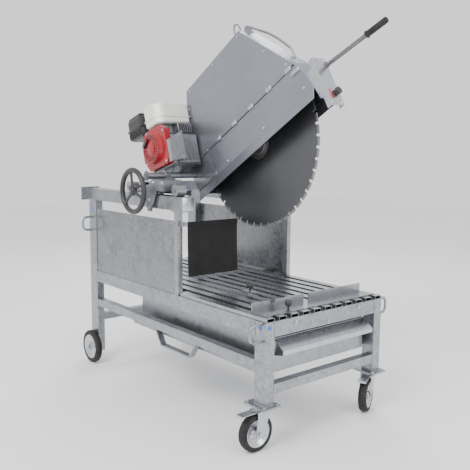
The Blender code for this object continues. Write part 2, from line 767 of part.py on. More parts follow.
def fence():
    slide = empty("fence_slide", (FENCE_X, 0, TABLE_TOP + GAP), ROOT)
    depth, length, height, sheet = FENCE
    outline = [(0, 0), (depth, 0), (depth, sheet), (sheet, sheet), (sheet, height), (0, height)]
    made = plate("fence", [outline], "xz", -length / 2, length / 2, "bright_zinc", slide)
    slot_low = (-0.01, BLADE_Y - FENCE_SLOT / 2, sheet)
    slot_high = (sheet + 0.01, BLADE_Y + FENCE_SLOT / 2, height + 0.01)
    slot = box("fence_slot", slot_low, slot_high, None, slide)
    cut(made, slot)
    turn = empty("fence_knob_turn", (FENCE_KNOB[0] - FENCE_X, FENCE_KNOB[1], sheet + GAP), slide)
    knob("fence_knob", 0, 0, 0, turn)
    stop = empty("table_stop_slide", (STOP_X, STOP_Y, TABLE_TOP + GAP), ROOT)
    long, wide, thick = STOP_BLOCK
    box("table_stop", (-long / 2, -wide / 2, 0), (long / 2, wide / 2, thick), "bright_zinc", stop)
    stop_turn = empty("stop_knob_turn", (0.012, 0, thick + GAP), stop)
    knob("stop_knob", 0, 0, 0, stop_turn)


# ---- Wheels ------------------------------------------------------------------------------------------
def wheel_profile(radius, width, bore):
    """A rubber-tyred steel wheel's section, from its bore out."""
    rim = radius * 0.66
    half = width / 2
    one_side = [(bore, half * 0.9), (bore + 0.012, half * 0.9), (rim - 0.012, half * 0.45)]
    one_side += [(rim, half), (radius * 0.94, half), (radius, half * 0.6)]
    return one_side + [(across, -along) for across, along in reversed(one_side)]


def castor(side_name):
    side = SIDES[side_name]
    radius, width = CASTOR_WHEEL
    y = side * (HALF_WIDTH - FRONT_LEG[1] / 2)
    crown_top = LEG_BOTTOM - CASTOR_PLATE[2] - RACEWAY[1] - GAP
    crown_low = crown_top - 2 * FORK_SHEET
    swivel = empty("castor_swivel_" + side_name, (CASTOR_X, y, 0), ROOT, (0, 0, CASTOR_TURN[side_name]))
    fork = rod(
        "castor_fork_" + side_name, (0, 0, crown_low), (0, 0, crown_top), RACEWAY[0] + 0.004, "bright_zinc", swivel
    )
    inner = width / 2 + FORK_CLEARANCE
    cheek = [(0.034, crown_top - FORK_SHEET), (-0.056, crown_top - FORK_SHEET)]
    cheek += arc((-CASTOR_TRAIL, radius), 0.022, 180, 340, 7)
    for x in (-inner - FORK_SHEET, inner):
        weld(fork, plate("fork_cheek", [cheek], "yz", x, x + FORK_SHEET, None, swivel))
    top = box(
        "fork_top",
        (-inner - FORK_SHEET, -0.052, crown_low + 0.0005),
        (inner + FORK_SHEET, 0.030, crown_top - FORK_SHEET),
        None,
        swivel,
    )
    axle_end = inner + FORK_SHEET + 0.006
    axle = rod(
        "castor_axle",
        (-axle_end, -CASTOR_TRAIL, radius),
        (axle_end, -CASTOR_TRAIL, radius),
        CASTOR_AXLE,
        None,
        swivel,
    )
    weld(fork, top, axle)
    hub = empty("castor_hub_" + side_name, (0, -CASTOR_TRAIL, radius), swivel)
    turned(
        "castor_wheel_" + side_name,
        wheel_profile(radius, width, CASTOR_AXLE + WHEEL_PLAY),
        "rubber",
        hub,
        (0, 0, 0),
        "x",
    )
    wide, long, thick = PEDAL
    hinge = empty("pedal_hinge_" + side_name, (0, -0.058, crown_top - FORK_SHEET), swivel)
    pedal = box("brake_pedal_" + side_name, (-wide / 2, -long, -thick), (wide / 2, 0, 0), "bright_zinc", hinge)
    lip = box("pedal_lip", (-wide / 2, -long, -0.012), (wide / 2, -long + 0.003, -thick + WELD), None, hinge)
    weld(pedal, lip)


def rear_wheel(side_name):
    side = SIDES[side_name]
    radius, width = REAR_WHEEL
    y = side * (HALF_WIDTH + 0.0015 + width / 2)
    hub = empty("rear_hub_" + side_name, (-FRAME_LENGTH + REAR_LEG[0] / 2, y, radius), ROOT)
    turned(
        "rear_wheel_" + side_name,
        wheel_profile(radius, width, REAR_AXLE + WHEEL_PLAY),
        "rubber",
        hub,
        (0, 0, 0),
        "y",
    )


# ---- Carriage ----------------------------------------------------------------------------------------
PINION_Z = BEAM_TOP + 0.022
CARRIAGE = empty("carriage", (CARRIAGE_X, 0, 0), ROOT)


def carriage_frame():
    """Two cheeks joined by a tube behind the pivot, with stub axles over the beams."""
    low_z = BEAM_TOP + 0.002
    reach = ROLLER_SPREAD + 0.025
    axle_z = BEAM_TOP + GAP + ROLLER[0]
    boss = PIVOT_SHAFT + 0.012
    outline = [(-reach, low_z), (reach, low_z), (reach, axle_z + 0.014), (reach - 0.06, axle_z + 0.014)]
    outline += arc((0, PIVOT_Z), boss, 25, 155, 9)
    outline += [(-reach + 0.06, axle_z + 0.014), (-reach, axle_z + 0.014)]
    frame = None
    for side_name, side in SIDES.items():
        low, high = sorted((side * CHEEK_Y, side * (CHEEK_Y + CHEEK_SHEET)))
        cheek = plate("carriage_frame" if frame is None else "cheek", [outline], "xz", low, high, "sheet", CARRIAGE)
        frame = cheek if frame is None else weld(frame, cheek)
        for x in (-ROLLER_SPREAD, ROLLER_SPREAD):
            stub_end = HALF_WIDTH - 0.004
            start, end = (x, side * (CHEEK_Y + WELD), axle_z), (x, side * stub_end, axle_z)
            stub = rod("stub_axle", start, end, ROLLER_AXLE, None, CARRIAGE)
            weld(frame, stub)
    cross = box(
        "carriage_tube",
        (-0.235, -CHEEK_Y - WELD, low_z + 0.003),
        (-0.175, CHEEK_Y + WELD, low_z + 0.063),
        None,
        CARRIAGE,
    )
    weld(frame, cross)
    bore = box(
        "carriage_tube_bore",
        (-0.235 + HEAVY_WALL, -CHEEK_Y - 0.05, low_z + 0.003 + HEAVY_WALL),
        (-0.175 - HEAVY_WALL, CHEEK_Y + 0.05, low_z + 0.063 - HEAVY_WALL),
        None,
        CARRIAGE,
    )
    cut(frame, bore)
    wheel_x = HANDWHEEL_X - CARRIAGE_X
    outer = -HALF_WIDTH - 0.022
    sleeve = rod(
        "shaft_housing",
        (wheel_x, -CHEEK_Y - CHEEK_SHEET - RACK_WIDTH - 0.012, PINION_Z),
        (wheel_x, outer, PINION_Z),
        0.019,
        None,
        CARRIAGE,
    )
    block = box(
        "adjuster_block",
        (0.052, outer + 0.002, low_z + 0.024),
        (0.187, -CHEEK_Y - CHEEK_SHEET + WELD, PIVOT_Z - 0.02),
        None,
        CARRIAGE,
    )
    bridge = box(
        "housing_bridge",
        (wheel_x - 0.02, outer + 0.002, PINION_Z + 0.012),
        (0.09, -HALF_WIDTH + BEAM - 0.004, PINION_Z + 0.032),
        None,
        CARRIAGE,
    )
    keeper_line = [(-0.023, low_z + 0.054), (0.107, low_z + 0.054), (0.107, low_z + 0.024)]
    keeper_line += [(0.052, BEAM_HEIGHT - 0.019), (0.012, BEAM_HEIGHT - 0.019), (-0.023, low_z + 0.024)]
    keeper = plate("keeper_plate", [keeper_line], "xz", outer + 0.001, outer + 0.008, None, CARRIAGE)
    weld(frame, block, bridge, sleeve, keeper)
    pivot_bore = rod("pivot_bore", (0, -0.5, PIVOT_Z), (0, 0.5, PIVOT_Z), PIVOT_SHAFT + GAP, None, CARRIAGE)
    start, end = (wheel_x, -0.6, PINION_Z), (wheel_x, -0.2, PINION_Z)
    shaft_bore = rod("shaft_bore", start, end, HANDWHEEL_SHAFT + GAP, None, CARRIAGE)
    cut(frame, pivot_bore, shaft_bore)


def rollers():
    radius, width = ROLLER
    middle = HALF_WIDTH - BEAM / 2
    bore = ROLLER_AXLE + GAP
    profile = [(bore, width / 2), (radius, width / 2), (radius, -width / 2), (bore, -width / 2)]
    for side_name, side in SIDES.items():
        for end_name, x in (("front", ROLLER_SPREAD), ("rear", -ROLLER_SPREAD)):
            where = (x, side * middle, BEAM_TOP + GAP + radius)
            hub = empty(f"roller_hub_{end_name}_{side_name}", where, CARRIAGE)
            turned(f"roller_{end_name}_{side_name}", profile, "steel", hub, (0, 0, 0), "y", 32)


def handwheel():
    hub = empty("handwheel_hub", (HANDWHEEL_X - CARRIAGE_X, 0, PINION_Z), CARRIAGE)
    rim = HANDWHEEL_RADIUS - HANDWHEEL_RIM
    profile = arc((rim, 0), HANDWHEEL_RIM, 0, 315, 8)
    wheel = turned("handwheel", profile, "black_plastic", hub, (0, HANDWHEEL_Y, 0), "y", 32)
    boss = rod("wheel_boss", (0, HANDWHEEL_Y - 0.016, 0), (0, HANDWHEEL_Y + 0.016, 0), 0.026, None, hub, 24)
    weld(wheel, boss)
    for index in range(3):
        angle = math.radians(80 + 120 * index)
        direction = Vector((math.cos(angle), 0, math.sin(angle)))
        spoke = rod(
            "spoke",
            Vector((0, HANDWHEEL_Y, 0)) + direction * 0.015,
            Vector((0, HANDWHEEL_Y, 0)) + direction * rim,
            0.016,
            None,
            hub,
            12,
            0.013,
        )
        weld(wheel, spoke)
    start, end = (0, HANDWHEEL_Y - 0.05, 0), (0, HANDWHEEL_Y + 0.05, 0)
    cut(wheel, rod("wheel_bore", start, end, HANDWHEEL_SHAFT + GAP, None, hub))
    pinion_low = -HALF_WIDTH + BEAM + 0.003
    pinion_high = pinion_low + RACK_WIDTH - 0.005
    shaft = rod(
        "handwheel_shaft",
        (0, HANDWHEEL_Y - 0.024, 0),
        (0, -CHEEK_Y + 0.012, 0),
        HANDWHEEL_SHAFT,
        "steel",
        hub,
    )
    weld(shaft, plate("pinion", [pinion_outline()], "xz", pinion_low, pinion_high, None, hub))


# ---- Head --------------------------------------------------------------------------------------------
HEAD = empty("head_pivot", (0, BLADE_Y, PIVOT_Z), CARRIAGE, (0, -HEAD_TILT, 0))
ENGINE = empty("engine_frame", (ENGINE_CRANK[0], 0, ENGINE_CRANK[1]), HEAD, (0, HEAD_TILT - ENGINE_TILT, 0))
GUARD_OUTLINE = [
    (0.055, GUARD_BOTTOM),
    (-0.012, SKIRT_TOP),
    (-0.036, SEAM_Z - 0.010),
    (0.191, 0.499),
    (0.787, 0.495),
    (1.041, 0.095),
    (1.102, -0.027),
    (1.132, GUARD_BOTTOM),
]
ARM_Y = GUARD_HALF + 0.0035
PULLEY_Y = ARM_Y + HOUSING[1] + 0.007


def inset(outline, distance):
    """The same outline moved inwards; it runs clockwise seen from the near side."""
    moved = []
    count = len(outline)
    for index, corner in enumerate(outline):
        before = Vector(outline[index - 1])
        after = Vector(outline[(index + 1) % count])
        corner = Vector(corner)
        first = (corner - before).normalized()
        second = (after - corner).normalized()
        first_normal = Vector((first.y, -first.x))
        second_normal = Vector((second.y, -second.x))
        bisector = (first_normal + second_normal).normalized()
        moved.append(corner + bisector * distance / bisector.dot(first_normal))
    return [tuple(point) for point in moved]


def shaft_holes(parent, low, high, blade_hole):
    """Cutters for the shafts that pass through the guard."""
    blade_x, blade_z = BLADE_CENTRE
    crank_x, crank_z = ENGINE_CRANK
    return [
        rod("pivot_hole", (0, low, 0), (0, high, 0), PIVOT_SHAFT + 0.001, None, parent),
        rod("crank_hole", (crank_x, low, crank_z), (crank_x, high, crank_z), CRANK_SHAFT + 0.006, None, parent),
        rod("blade_hole", (blade_x, low, blade_z), (blade_x, high, blade_z), blade_hole, None, parent),
    ]


def head_frame():
    """The pivot shaft, the engine's bed and the arm that carries the blade's bearing housing."""
    near_end, far_end = -HALF_WIDTH - 0.025 - BLADE_Y, CHEEK_Y + CHEEK_SHEET + 0.02 - BLADE_Y
    frame = rod("head_frame", (0, near_end, 0), (0, far_end, 0), PIVOT_SHAFT, "galvanised", HEAD)
    washer = rod("end_washer", (0, near_end + 0.003, 0), (0, near_end + 0.009, 0), PIVOT_SHAFT + 0.010, None, HEAD)
    weld(frame, washer)
    bed_near, bed_far = -CHEEK_Y + 0.004 - BLADE_Y, -GUARD_HALF - 0.012
    bed_top = -ENGINE_BASE - GAP
    bed = box("engine_bed", (-0.17, bed_near, bed_top - BED_SHEET), (0.12, bed_far, bed_top), None, ENGINE)
    weld(frame, bed)
    rib_top = bed_top - BED_SHEET + WELD
    rib_low = rib_top - 0.036
    for y in (bed_near + 0.03, bed_far - 0.05):
        rib = [(0.0, rib_low), (0.034, rib_low), (0.09, rib_top), (-0.06, rib_top)]
        weld(frame, plate("bed_rib", [rib], "xz", y, y + 0.008, None, ENGINE))
    arm = belt_outline((0, 0), 0.045, BLADE_CENTRE, 0.075, 14)
    weld(frame, plate("arm", [arm], "xz", ARM_Y, ARM_Y + ARM_SHEET, None, HEAD))
    x, z = BLADE_CENTRE
    housing = rod("housing", (x, ARM_Y + WELD, z), (x, ARM_Y + HOUSING[1], z), HOUSING[0], None, HEAD)
    weld(frame, housing)
    cut(frame, rod("housing_bore", (x, 0.02, z), (x, 0.3, z), ARBOR + GAP, None, HEAD))


def guard_body():
    body = plate("guard_body", [GUARD_OUTLINE], "xz", -GUARD_HALF, GUARD_HALF, "sheet", HEAD)
    inner = inset(GUARD_OUTLINE, GUARD_SHEET)
    inner[0] = (inner[0][0] + 0.05, GUARD_BOTTOM - 0.06)
    inner[-1] = (inner[-1][0] + 0.02, GUARD_BOTTOM - 0.06)
    first, last = inset(GUARD_OUTLINE, GUARD_SHEET)[0], inset(GUARD_OUTLINE, GUARD_SHEET)[-1]
    hollow = [(first[0], GUARD_BOTTOM - 0.01)] + inner[1:-1] + [(last[0], GUARD_BOTTOM - 0.01)]
    room = plate("guard_room", [hollow], "xz", -GUARD_HALF - 0.01, GUARD_HALF - GUARD_SHEET, None, HEAD)
    cut(body, room, *shaft_holes(HEAD, -0.2, 0.2, HOUSING[0] + 0.004))
    ring_x, ring_z = 0.752, 0.530
    turns = [math.radians(-62 + 304 * index / 18) for index in range(19)]
    ring = [(ring_x + 0.026 * math.cos(turn), -0.045, ring_z + 0.040 * math.sin(turn)) for turn in turns]
    line = [(0.740, 0.572), (0.762, 0.566), (0.883, 0.422), (0.934, 0.343), (0.988, 0.237), (0.989, 0.170)]
    y = GUARD_HALF - 0.03
    bar = [(across, y, up) for across, up in line]
    lug = [(0.70, 0.490), (0.785, 0.490), (0.775, 0.545), (0.758, 0.580), (0.735, 0.580), (0.72, 0.56)]
    weld(
        body,
        bent_bar("lifting_ring", ring, 0.005, None, HEAD, 2),
        bent_bar("hood_bar", rounded_path(bar, 0.012, 4), 0.007, None, HEAD, 2),
        plate("lug", [lug], "xz", y - 0.003, y + 0.003, None, HEAD),
    )


def skirt(name, rear, front, parent, shift):
    """The flared strip along the bottom of the near side; shift moves it into the parent's own frame."""
    length = (SKIRT_TOP - GUARD_BOTTOM) / math.cos(math.radians(SKIRT_FLARE))
    strip = box(name, (rear, -COVER_SHEET, -length), (front, 0, 0), None, parent)
    strip.rotation_euler = Euler((math.radians(-SKIRT_FLARE), 0, 0))
    centre = Matrix.Rotation(math.radians(-SKIRT_FLARE), 3, "X") @ Vector((0, -COVER_SHEET / 2, -length / 2))
    strip.location = Vector(((rear + front) / 2, COVER_Y[1] + centre.y, SKIRT_TOP + 0.0015 + centre.z)) + shift
    return strip


COVER_Y = (-GUARD_HALF - GAP - COVER_SHEET, -GUARD_HALF - GAP)


def guard_cover():
    """The fixed plate on the near side: all of the upper part, and the lower part beside the engine."""
    outline = [
        (-0.012, SKIRT_TOP),
        (-0.036, SEAM_Z - 0.010),
        (0.191, 0.499),
        (0.787, 0.495),
        (1.041, 0.095),
        (1.0535, SEAM_Z + DOOR_PIN),
        (DOOR_REAR_X - 0.003, SEAM_Z + DOOR_PIN),
        (DOOR_REAR_X - 0.003, SKIRT_TOP),
    ]
    cover = plate("guard_cover", [outline], "xz", *COVER_Y, "sheet", HEAD)
    weld(cover, skirt("cover_skirt", 0.0, DOOR_REAR_X - 0.003, HEAD, Vector((0, 0, 0))))
    holes = shaft_holes(HEAD, -0.2, -0.06, ARBOR)
    cut(cover, *holes[:2])
    bpy.data.objects.remove(holes[2], do_unlink=True)


DOOR_AXIS = Vector((0, COVER_Y[0] - 0.0040, SEAM_Z - 0.0015))


def guard_door():
    """The lower plate in front of the blade's nut, hinged along its top edge."""
    hinge = empty("door_hinge", DOOR_AXIS, HEAD)
    top = SEAM_Z - 0.004
    outline = [
        (DOOR_REAR_X, top),
        (1.0585, top),
        (1.102, -0.027),
        (1.1165, SKIRT_TOP),
        (DOOR_REAR_X, SKIRT_TOP),
    ]
    shifted = [(x - DOOR_AXIS.x, z - DOOR_AXIS.z) for x, z in outline]
    door = plate("guard_door", [shifted], "xz", COVER_Y[0] - DOOR_AXIS.y, COVER_Y[1] - DOOR_AXIS.y, "sheet", hinge)
    strip = skirt("door_skirt", DOOR_REAR_X, 1.1165, hinge, -DOOR_AXIS)
    pin = rod("door_pin", (DOOR_REAR_X + 0.005, 0, 0), (1.045, 0, 0), DOOR_PIN, None, hinge, 16)
    weld(door, strip, pin)
    latch_hinge = empty("latch_hinge", (1.035, COVER_Y[0] - GAP - DOOR_AXIS.y, 0.022 - DOOR_AXIS.z), hinge)
    latch = box("guard_latch", (-0.012, -0.010, -0.010), (0.048, 0, 0.010), "bright_zinc", latch_hinge, 0.002)
    weld(latch, rod("latch_pivot", (0, -0.014, 0), (0, -0.001, 0), 0.008, None, latch_hinge, 16))


def belt_cover():
    room, depth = BELT_COVER
    outline = belt_outline(ENGINE_CRANK, ENGINE_PULLEY + BELT[0] + room, BLADE_CENTRE, BLADE_PULLEY + BELT[0] + room)
    inner = belt_outline(
        ENGINE_CRANK,
        ENGINE_PULLEY + BELT[0] + room - COVER_SHEET,
        BLADE_CENTRE,
        BLADE_PULLEY + BELT[0] + room - COVER_SHEET,
    )
    near = ARM_Y + ARM_SHEET + 0.001
    cover = plate("belt_cover", [outline], "xz", near, near + depth, "sheet", HEAD)
    cut(cover, plate("cover_room", [inner], "xz", near - 0.01, near + depth - COVER_SHEET, None, HEAD))


def drive():
    """Pulleys, belt, blade shaft, blade and nut."""
    x, z = BLADE_CENTRE
    spin = empty("blade_axis", (x, 0, z), HEAD)
    sheet = BLADE_SHEET / 2
    shaft = rod("blade_shaft", (0, -0.042, 0), (0, PULLEY_Y + PULLEY_WIDTH + 0.006, 0), ARBOR, "steel", spin)
    flange_y = sheet + GAP
    weld(
        shaft,
        rod("inner_flange", (0, flange_y, 0), (0, flange_y + FLANGE[1], 0), FLANGE[0], None, spin),
        rod("blade_pulley", (0, PULLEY_Y, 0), (0, PULLEY_Y + PULLEY_WIDTH, 0), BLADE_PULLEY, None, spin, 48),
    )
    slot_half = BLADE_SLOT[0] / 2 / BLADE_RADIUS
    outline = []
    for index in range(BLADE_TEETH):
        middle = 2 * math.pi * index / BLADE_TEETH
        step = math.pi / BLADE_TEETH
        corners = (
            (middle - step, BLADE_RADIUS - BLADE_SLOT[1]),
            (middle - step + slot_half, BLADE_RADIUS - BLADE_SLOT[1]),
            (middle - step + slot_half, BLADE_RADIUS),
            (middle, BLADE_RADIUS),
            (middle + step - slot_half, BLADE_RADIUS),
            (middle + step - slot_half, BLADE_RADIUS - BLADE_SLOT[1]),
        )
        outline += [(radius * math.cos(angle), radius * math.sin(angle)) for angle, radius in corners]
    bore = arc((0, 0), ARBOR + GAP, 0, 348, 30)
    plate("blade", [outline, bore], "xz", -sheet, sheet, "blade_steel", spin)
    nut = rod("blade_nut", (0, -flange_y - FLANGE[1], 0), (0, -flange_y, 0), FLANGE[0], "steel", spin)
    hexagon = rod("hexagon", (0, -0.036, 0), (0, -flange_y - FLANGE[1] + WELD, 0), 0.032, None, spin, 6)
    weld(nut, hexagon)
    cut(nut, rod("nut_bore", (0, -0.1, 0), (0, 0.01, 0), ARBOR + GAP, None, spin))
    crank = empty("crank_axis", (0, 0, 0), ENGINE)
    crank_shaft = rod(
        "engine_shaft",
        (0, -GUARD_HALF - 0.012 + GAP, 0),
        (0, PULLEY_Y + PULLEY_WIDTH + 0.004, 0),
        CRANK_SHAFT,
        "steel",
        crank,
    )
    start, end = (0, PULLEY_Y, 0), (0, PULLEY_Y + PULLEY_WIDTH, 0)
    weld(crank_shaft, rod("engine_pulley", start, end, ENGINE_PULLEY, None, crank, 40))
    thick, wide = BELT
    middle = PULLEY_Y + PULLEY_WIDTH / 2
    loop = belt_outline(ENGINE_CRANK, ENGINE_PULLEY + GAP + thick, BLADE_CENTRE, BLADE_PULLEY + GAP + thick)
    hole = belt_outline(ENGINE_CRANK, ENGINE_PULLEY + GAP + 0.0002, BLADE_CENTRE, BLADE_PULLEY + GAP + 0.0004)
    plate("drive_belt", [loop, hole], "xz", middle - wide / 2, middle + wide / 2, "rubber", HEAD)


# ---- Engine ------------------------------------------------------------------------------------------
def engine():
    """A single-cylinder petrol engine; its own frame has the crank axis as origin."""
    rear_y = -GUARD_HALF - 0.012
    case_front = ENGINE_FRONT_Y + 0.058
    base = -ENGINE_BASE
    block = box("engine_block", (-0.122, case_front, base), (0.125, rear_y, 0.055), "cast_aluminium", ENGINE, 0.006)
    cylinder_top, tank_low, tank_high = 0.070, 0.140, 0.275
    cylinder = box("cylinder", (0.02, case_front + 0.01, 0), (0.225, rear_y - 0.03, cylinder_top), None, ENGINE, 0.006)
    plate_low, plate_high = ENGINE_FRONT_Y + 0.024, ENGINE_FRONT_Y + 0.124
    side_line = [(plate_low, -0.125), (plate_high, -0.112), (plate_high, 0.064), (plate_low, 0.012)]
    side_plate = plate("side_plate", [side_line], "yz", 0.150, 0.157, None, ENGINE)
    web = box("side_web", (0.120, case_front + 0.012, -0.08), (0.152, plate_high - 0.015, -0.02), None, ENGINE)
    stand_rear = -0.08
    stand = box("tank_stand", (stand_rear, -0.26, 0.05), (0.05, -0.14, tank_low - GAP), None, ENGINE)
    weld(block, cylinder, side_plate, web, stand)
    fan_line = [(-0.145, -0.055), (-0.095, -0.125), (0.105, -0.125), (0.128, -0.095), (0.128, 0.085)]
    fan_line += [(0.085, 0.122), (-0.085, 0.122), (-0.145, 0.055)]
    fan = plate("fan_cover", [fan_line], "xz", ENGINE_FRONT_Y + 0.022, case_front - GAP, "red_paint", ENGINE)
    recoil_x, sheet = -0.01, 0.0025
    start, end = (recoil_x, ENGINE_FRONT_Y, 0), (recoil_x, ENGINE_FRONT_Y + 0.024, 0)
    recoil = rod("recoil", start, end, 0.088, None, ENGINE, 32, 0.100)
    weld(fan, recoil)
    shifted = inset(list(reversed(fan_line)), sheet)
    fan_room = plate("fan_room", [shifted], "xz", ENGINE_FRONT_Y + 0.022 + sheet, case_front + 0.01, None, ENGINE)
    recoil_room = rod(
        "recoil_room",
        (recoil_x, ENGINE_FRONT_Y + sheet, 0),
        (recoil_x, ENGINE_FRONT_Y + 0.03, 0),
        0.088 - sheet,
        None,
        ENGINE,
        32,
        0.100 - 2 * sheet,
    )
    cut(fan, fan_room, recoil_room)
    pull = empty("recoil_slide", (-0.055, ENGINE_FRONT_Y - GAP, 0.045), ENGINE)
    grip = box("recoil_handle", (-0.032, -0.014, -0.008), (0.032, 0, 0.008), "black_plastic", pull, 0.003)
    grip.rotation_euler = Euler((0, math.radians(-35), 0))
    grip.location = Matrix.Rotation(math.radians(-35), 3, "Y") @ grip.location
    tank_line = [(-0.105, rear_y), (-0.105, -0.284), (-0.060, -0.329), (0.040, -0.329), (0.085, -0.284)]
    tank_line += [(0.085, rear_y)]
    tank = plate("fuel_tank", [tank_line], "xy", tank_low, tank_high, "tank_paint", ENGINE)
    edge = tank.modifiers.new("edges", "BEVEL")
    edge.width = 0.014
    edge.segments = 3
    tank = to_mesh(tank)
    neck_x, neck_y = -0.01, -0.20
    neck_top = (neck_x, neck_y, tank_high + 0.006)
    weld(tank, rod("filler_neck", (neck_x, neck_y, tank_high - 0.004), neck_top, 0.024, None, ENGINE))
    wall = 0.003
    tank_inner = [(-0.101, rear_y - 0.004), (-0.101, -0.281), (-0.057, -0.325), (0.037, -0.325)]
    tank_inner += [(0.081, -0.281), (0.081, rear_y - 0.004)]
    tank_room = plate("tank_room", [tank_inner], "xy", tank_low + 0.010, tank_high - 0.010, None, ENGINE)
    start, end = (neck_x, neck_y, tank_high - 0.02), (neck_x, neck_y, tank_high + 0.02)
    neck_bore = rod("neck_bore", start, end, 0.020, None, ENGINE)
    cut(tank, tank_room, neck_bore)
    turn = empty("cap_turn", (neck_x, neck_y, tank_high + 0.006 + GAP), ENGINE)
    rod("fuel_cap", (0, 0, 0), (0, 0, 0.018), 0.029, "black_plastic", turn, 24)
    air = box("air_filter", (-0.33, -0.300, 0.135), (-0.158, -0.150, 0.282), "black_plastic", ENGINE)
    edge = air.modifiers.new("edges", "BEVEL")
    edge.width = 0.022
    edge.segments = 2
    air = to_mesh(air)
    elbow = box("elbow", (-0.24, -0.245, 0.095), (-0.17, -0.185, 0.150), None, ENGINE)
    intake = box("intake", (-0.20, -0.235, 0.098), (stand_rear - GAP, -0.195, 0.134), None, ENGINE)
    weld(air, elbow, intake)
    air_room = box("air_room", (-0.325, -0.295, 0.140), (-0.163, -0.155, 0.277), None, ENGINE, 0.02)
    elbow_bore = box("elbow_bore", (-0.236, -0.241, 0.090), (-0.204, -0.189, 0.160), None, ENGINE)
    cut(air, air_room, elbow_bore)
    low, high = Vector((0.095, -0.235, cylinder_top + GAP)), Vector((0.215, -0.100, 0.134))
    muffler = box("muffler", low, high, "steel", ENGINE, 0.008)
    inward = Vector((wall, wall, wall))
    muffler_room = box("muffler_room", low + inward, high - inward, None, ENGINE, 0.006)
    outlet_y, outlet_z = (low.y + high.y) / 2, high.z - 0.03
    start, end = (high.x - 0.02, outlet_y, outlet_z), (high.x + 0.01, outlet_y, outlet_z)
    outlet = rod("outlet", start, end, 0.012, None, ENGINE, 16)
    cut(muffler, muffler_room, outlet)


# ---- Operator's end ----------------------------------------------------------------------------------
def console():
    depth, width, height = CONSOLE
    sheet = 0.004
    near = -GUARD_HALF + 0.003
    top = 0.020
    face = box("console", (CONSOLE_X, near, top - height), (CONSOLE_X + sheet, near + width, top), "bright_zinc", HEAD)
    for y in (near, near + width - sheet):
        low = (CONSOLE_X - 0.028, y, top - height)
        weld(face, box("console_flange", low, (CONSOLE_X + sheet / 2, y + sheet, top), None, HEAD))
        arm = [(1.1328, GUARD_BOTTOM), (1.1028, -0.027), (CONSOLE_X - 0.02, -0.027), (CONSOLE_X - 0.02, GUARD_BOTTOM)]
        weld(face, plate("console_arm", [arm], "xz", y + 0.0005, y + sheet - 0.0005, None, HEAD))
    button_y, button_z, stem = -0.002, -0.185, 0.012
    start, end = (CONSOLE_X - 0.02, button_y, button_z), (CONSOLE_X + 0.02, button_y, button_z)
    cut(face, rod("button_hole", start, end, stem + 0.001, None, HEAD))
    handle_y = 0.016
    start = Vector((CONSOLE_X - 0.004, handle_y, -0.018))
    along = Vector((math.cos(math.radians(HANDLE_DROP)), 0, -math.sin(math.radians(HANDLE_DROP))))
    end = start + along * HANDLE_LENGTH
    weld(face, rod("feed_handle", start, end, HANDLE_ROD, None, HEAD, 24))
    grip_start = end - along * (GRIP[1] - 0.006)
    grip = rod("handle_grip", grip_start, end + along * 0.006, GRIP[0], "rubber", HEAD, 24)
    cut(grip, rod("grip_bore", grip_start - along * 0.02, end + along * GAP, HANDLE_ROD + GAP, None, HEAD, 24))
    press = empty("button_slide", (CONSOLE_X + sheet, button_y, button_z), HEAD)
    button = rod("stop_button", (0.008, 0, 0), (0.024, 0, 0), 0.019, "black_plastic", press)
    weld(button, rod("button_stem", (-0.010, 0, 0), (0.010, 0, 0), stem, None, press))


# ---- The whole machine -------------------------------------------------------------------------------
for name in SIDES:
    front_leg(name)
    rear_leg(name)
    side_rail(name)
    lower_rail(name)
    beam(name)
    splash_panel(name)
    castor(name)
    rear_wheel(name)
crossbars()
curtain()
table_grid()
water_tray()
fence()
carriage_frame()
rollers()
handwheel()
head_frame()
guard_body()
guard_cover()
guard_door()
belt_cover()
drive()
engine()
console()


def stand_on_origin():
    """Move the machine so that the middle of its box's base is the world's origin."""
    bpy.context.view_layer.update()
    depsgraph = bpy.context.evaluated_depsgraph_get()
    low, high = Vector((1e9,) * 3), Vector((-1e9,) * 3)
    for piece in PARTS.objects:
        if piece.type != "MESH":
            continue
        evaluated = piece.evaluated_get(depsgraph)
        mesh = evaluated.to_mesh()
        for vertex in mesh.vertices:
            point = evaluated.matrix_world @ vertex.co
            low = Vector(map(min, low, point))
            high = Vector(map(max, high, point))
        evaluated.to_mesh_clear()
    ROOT.location = (-(low.x + high.x) / 2, -(low.y + high.y) / 2, -low.z)
    bpy.context.view_layer.update()


stand_on_origin()
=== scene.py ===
"""The looks of a wheeled masonry saw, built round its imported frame: finishes for the solids that stay, and
finer pieces for the wheels, handwheel, grip, engine, curtain, welds and fasteners."""
import json
import math

import bmesh
import bpy
from mathutils import Matrix, Quaternion, Vector


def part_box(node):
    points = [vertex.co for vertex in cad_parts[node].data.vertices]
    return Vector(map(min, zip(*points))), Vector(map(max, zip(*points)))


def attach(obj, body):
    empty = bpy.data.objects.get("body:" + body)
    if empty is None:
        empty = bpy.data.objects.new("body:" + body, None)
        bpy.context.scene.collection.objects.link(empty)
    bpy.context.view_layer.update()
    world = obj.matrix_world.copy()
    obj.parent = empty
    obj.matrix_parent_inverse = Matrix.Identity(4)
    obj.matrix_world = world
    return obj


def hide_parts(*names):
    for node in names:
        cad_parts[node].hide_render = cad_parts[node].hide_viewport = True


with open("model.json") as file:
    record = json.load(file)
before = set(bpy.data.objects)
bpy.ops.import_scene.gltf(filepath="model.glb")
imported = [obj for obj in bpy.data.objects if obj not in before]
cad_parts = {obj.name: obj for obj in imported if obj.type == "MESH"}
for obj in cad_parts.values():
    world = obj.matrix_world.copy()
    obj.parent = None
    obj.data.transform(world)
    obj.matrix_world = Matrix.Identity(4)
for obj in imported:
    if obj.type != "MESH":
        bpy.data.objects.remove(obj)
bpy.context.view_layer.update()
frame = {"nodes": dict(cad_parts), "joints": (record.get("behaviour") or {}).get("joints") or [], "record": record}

# ---- Places ------------------------------------------------------------------------------------------
JOINTS = {joint["name"]: joint for joint in frame["joints"]}
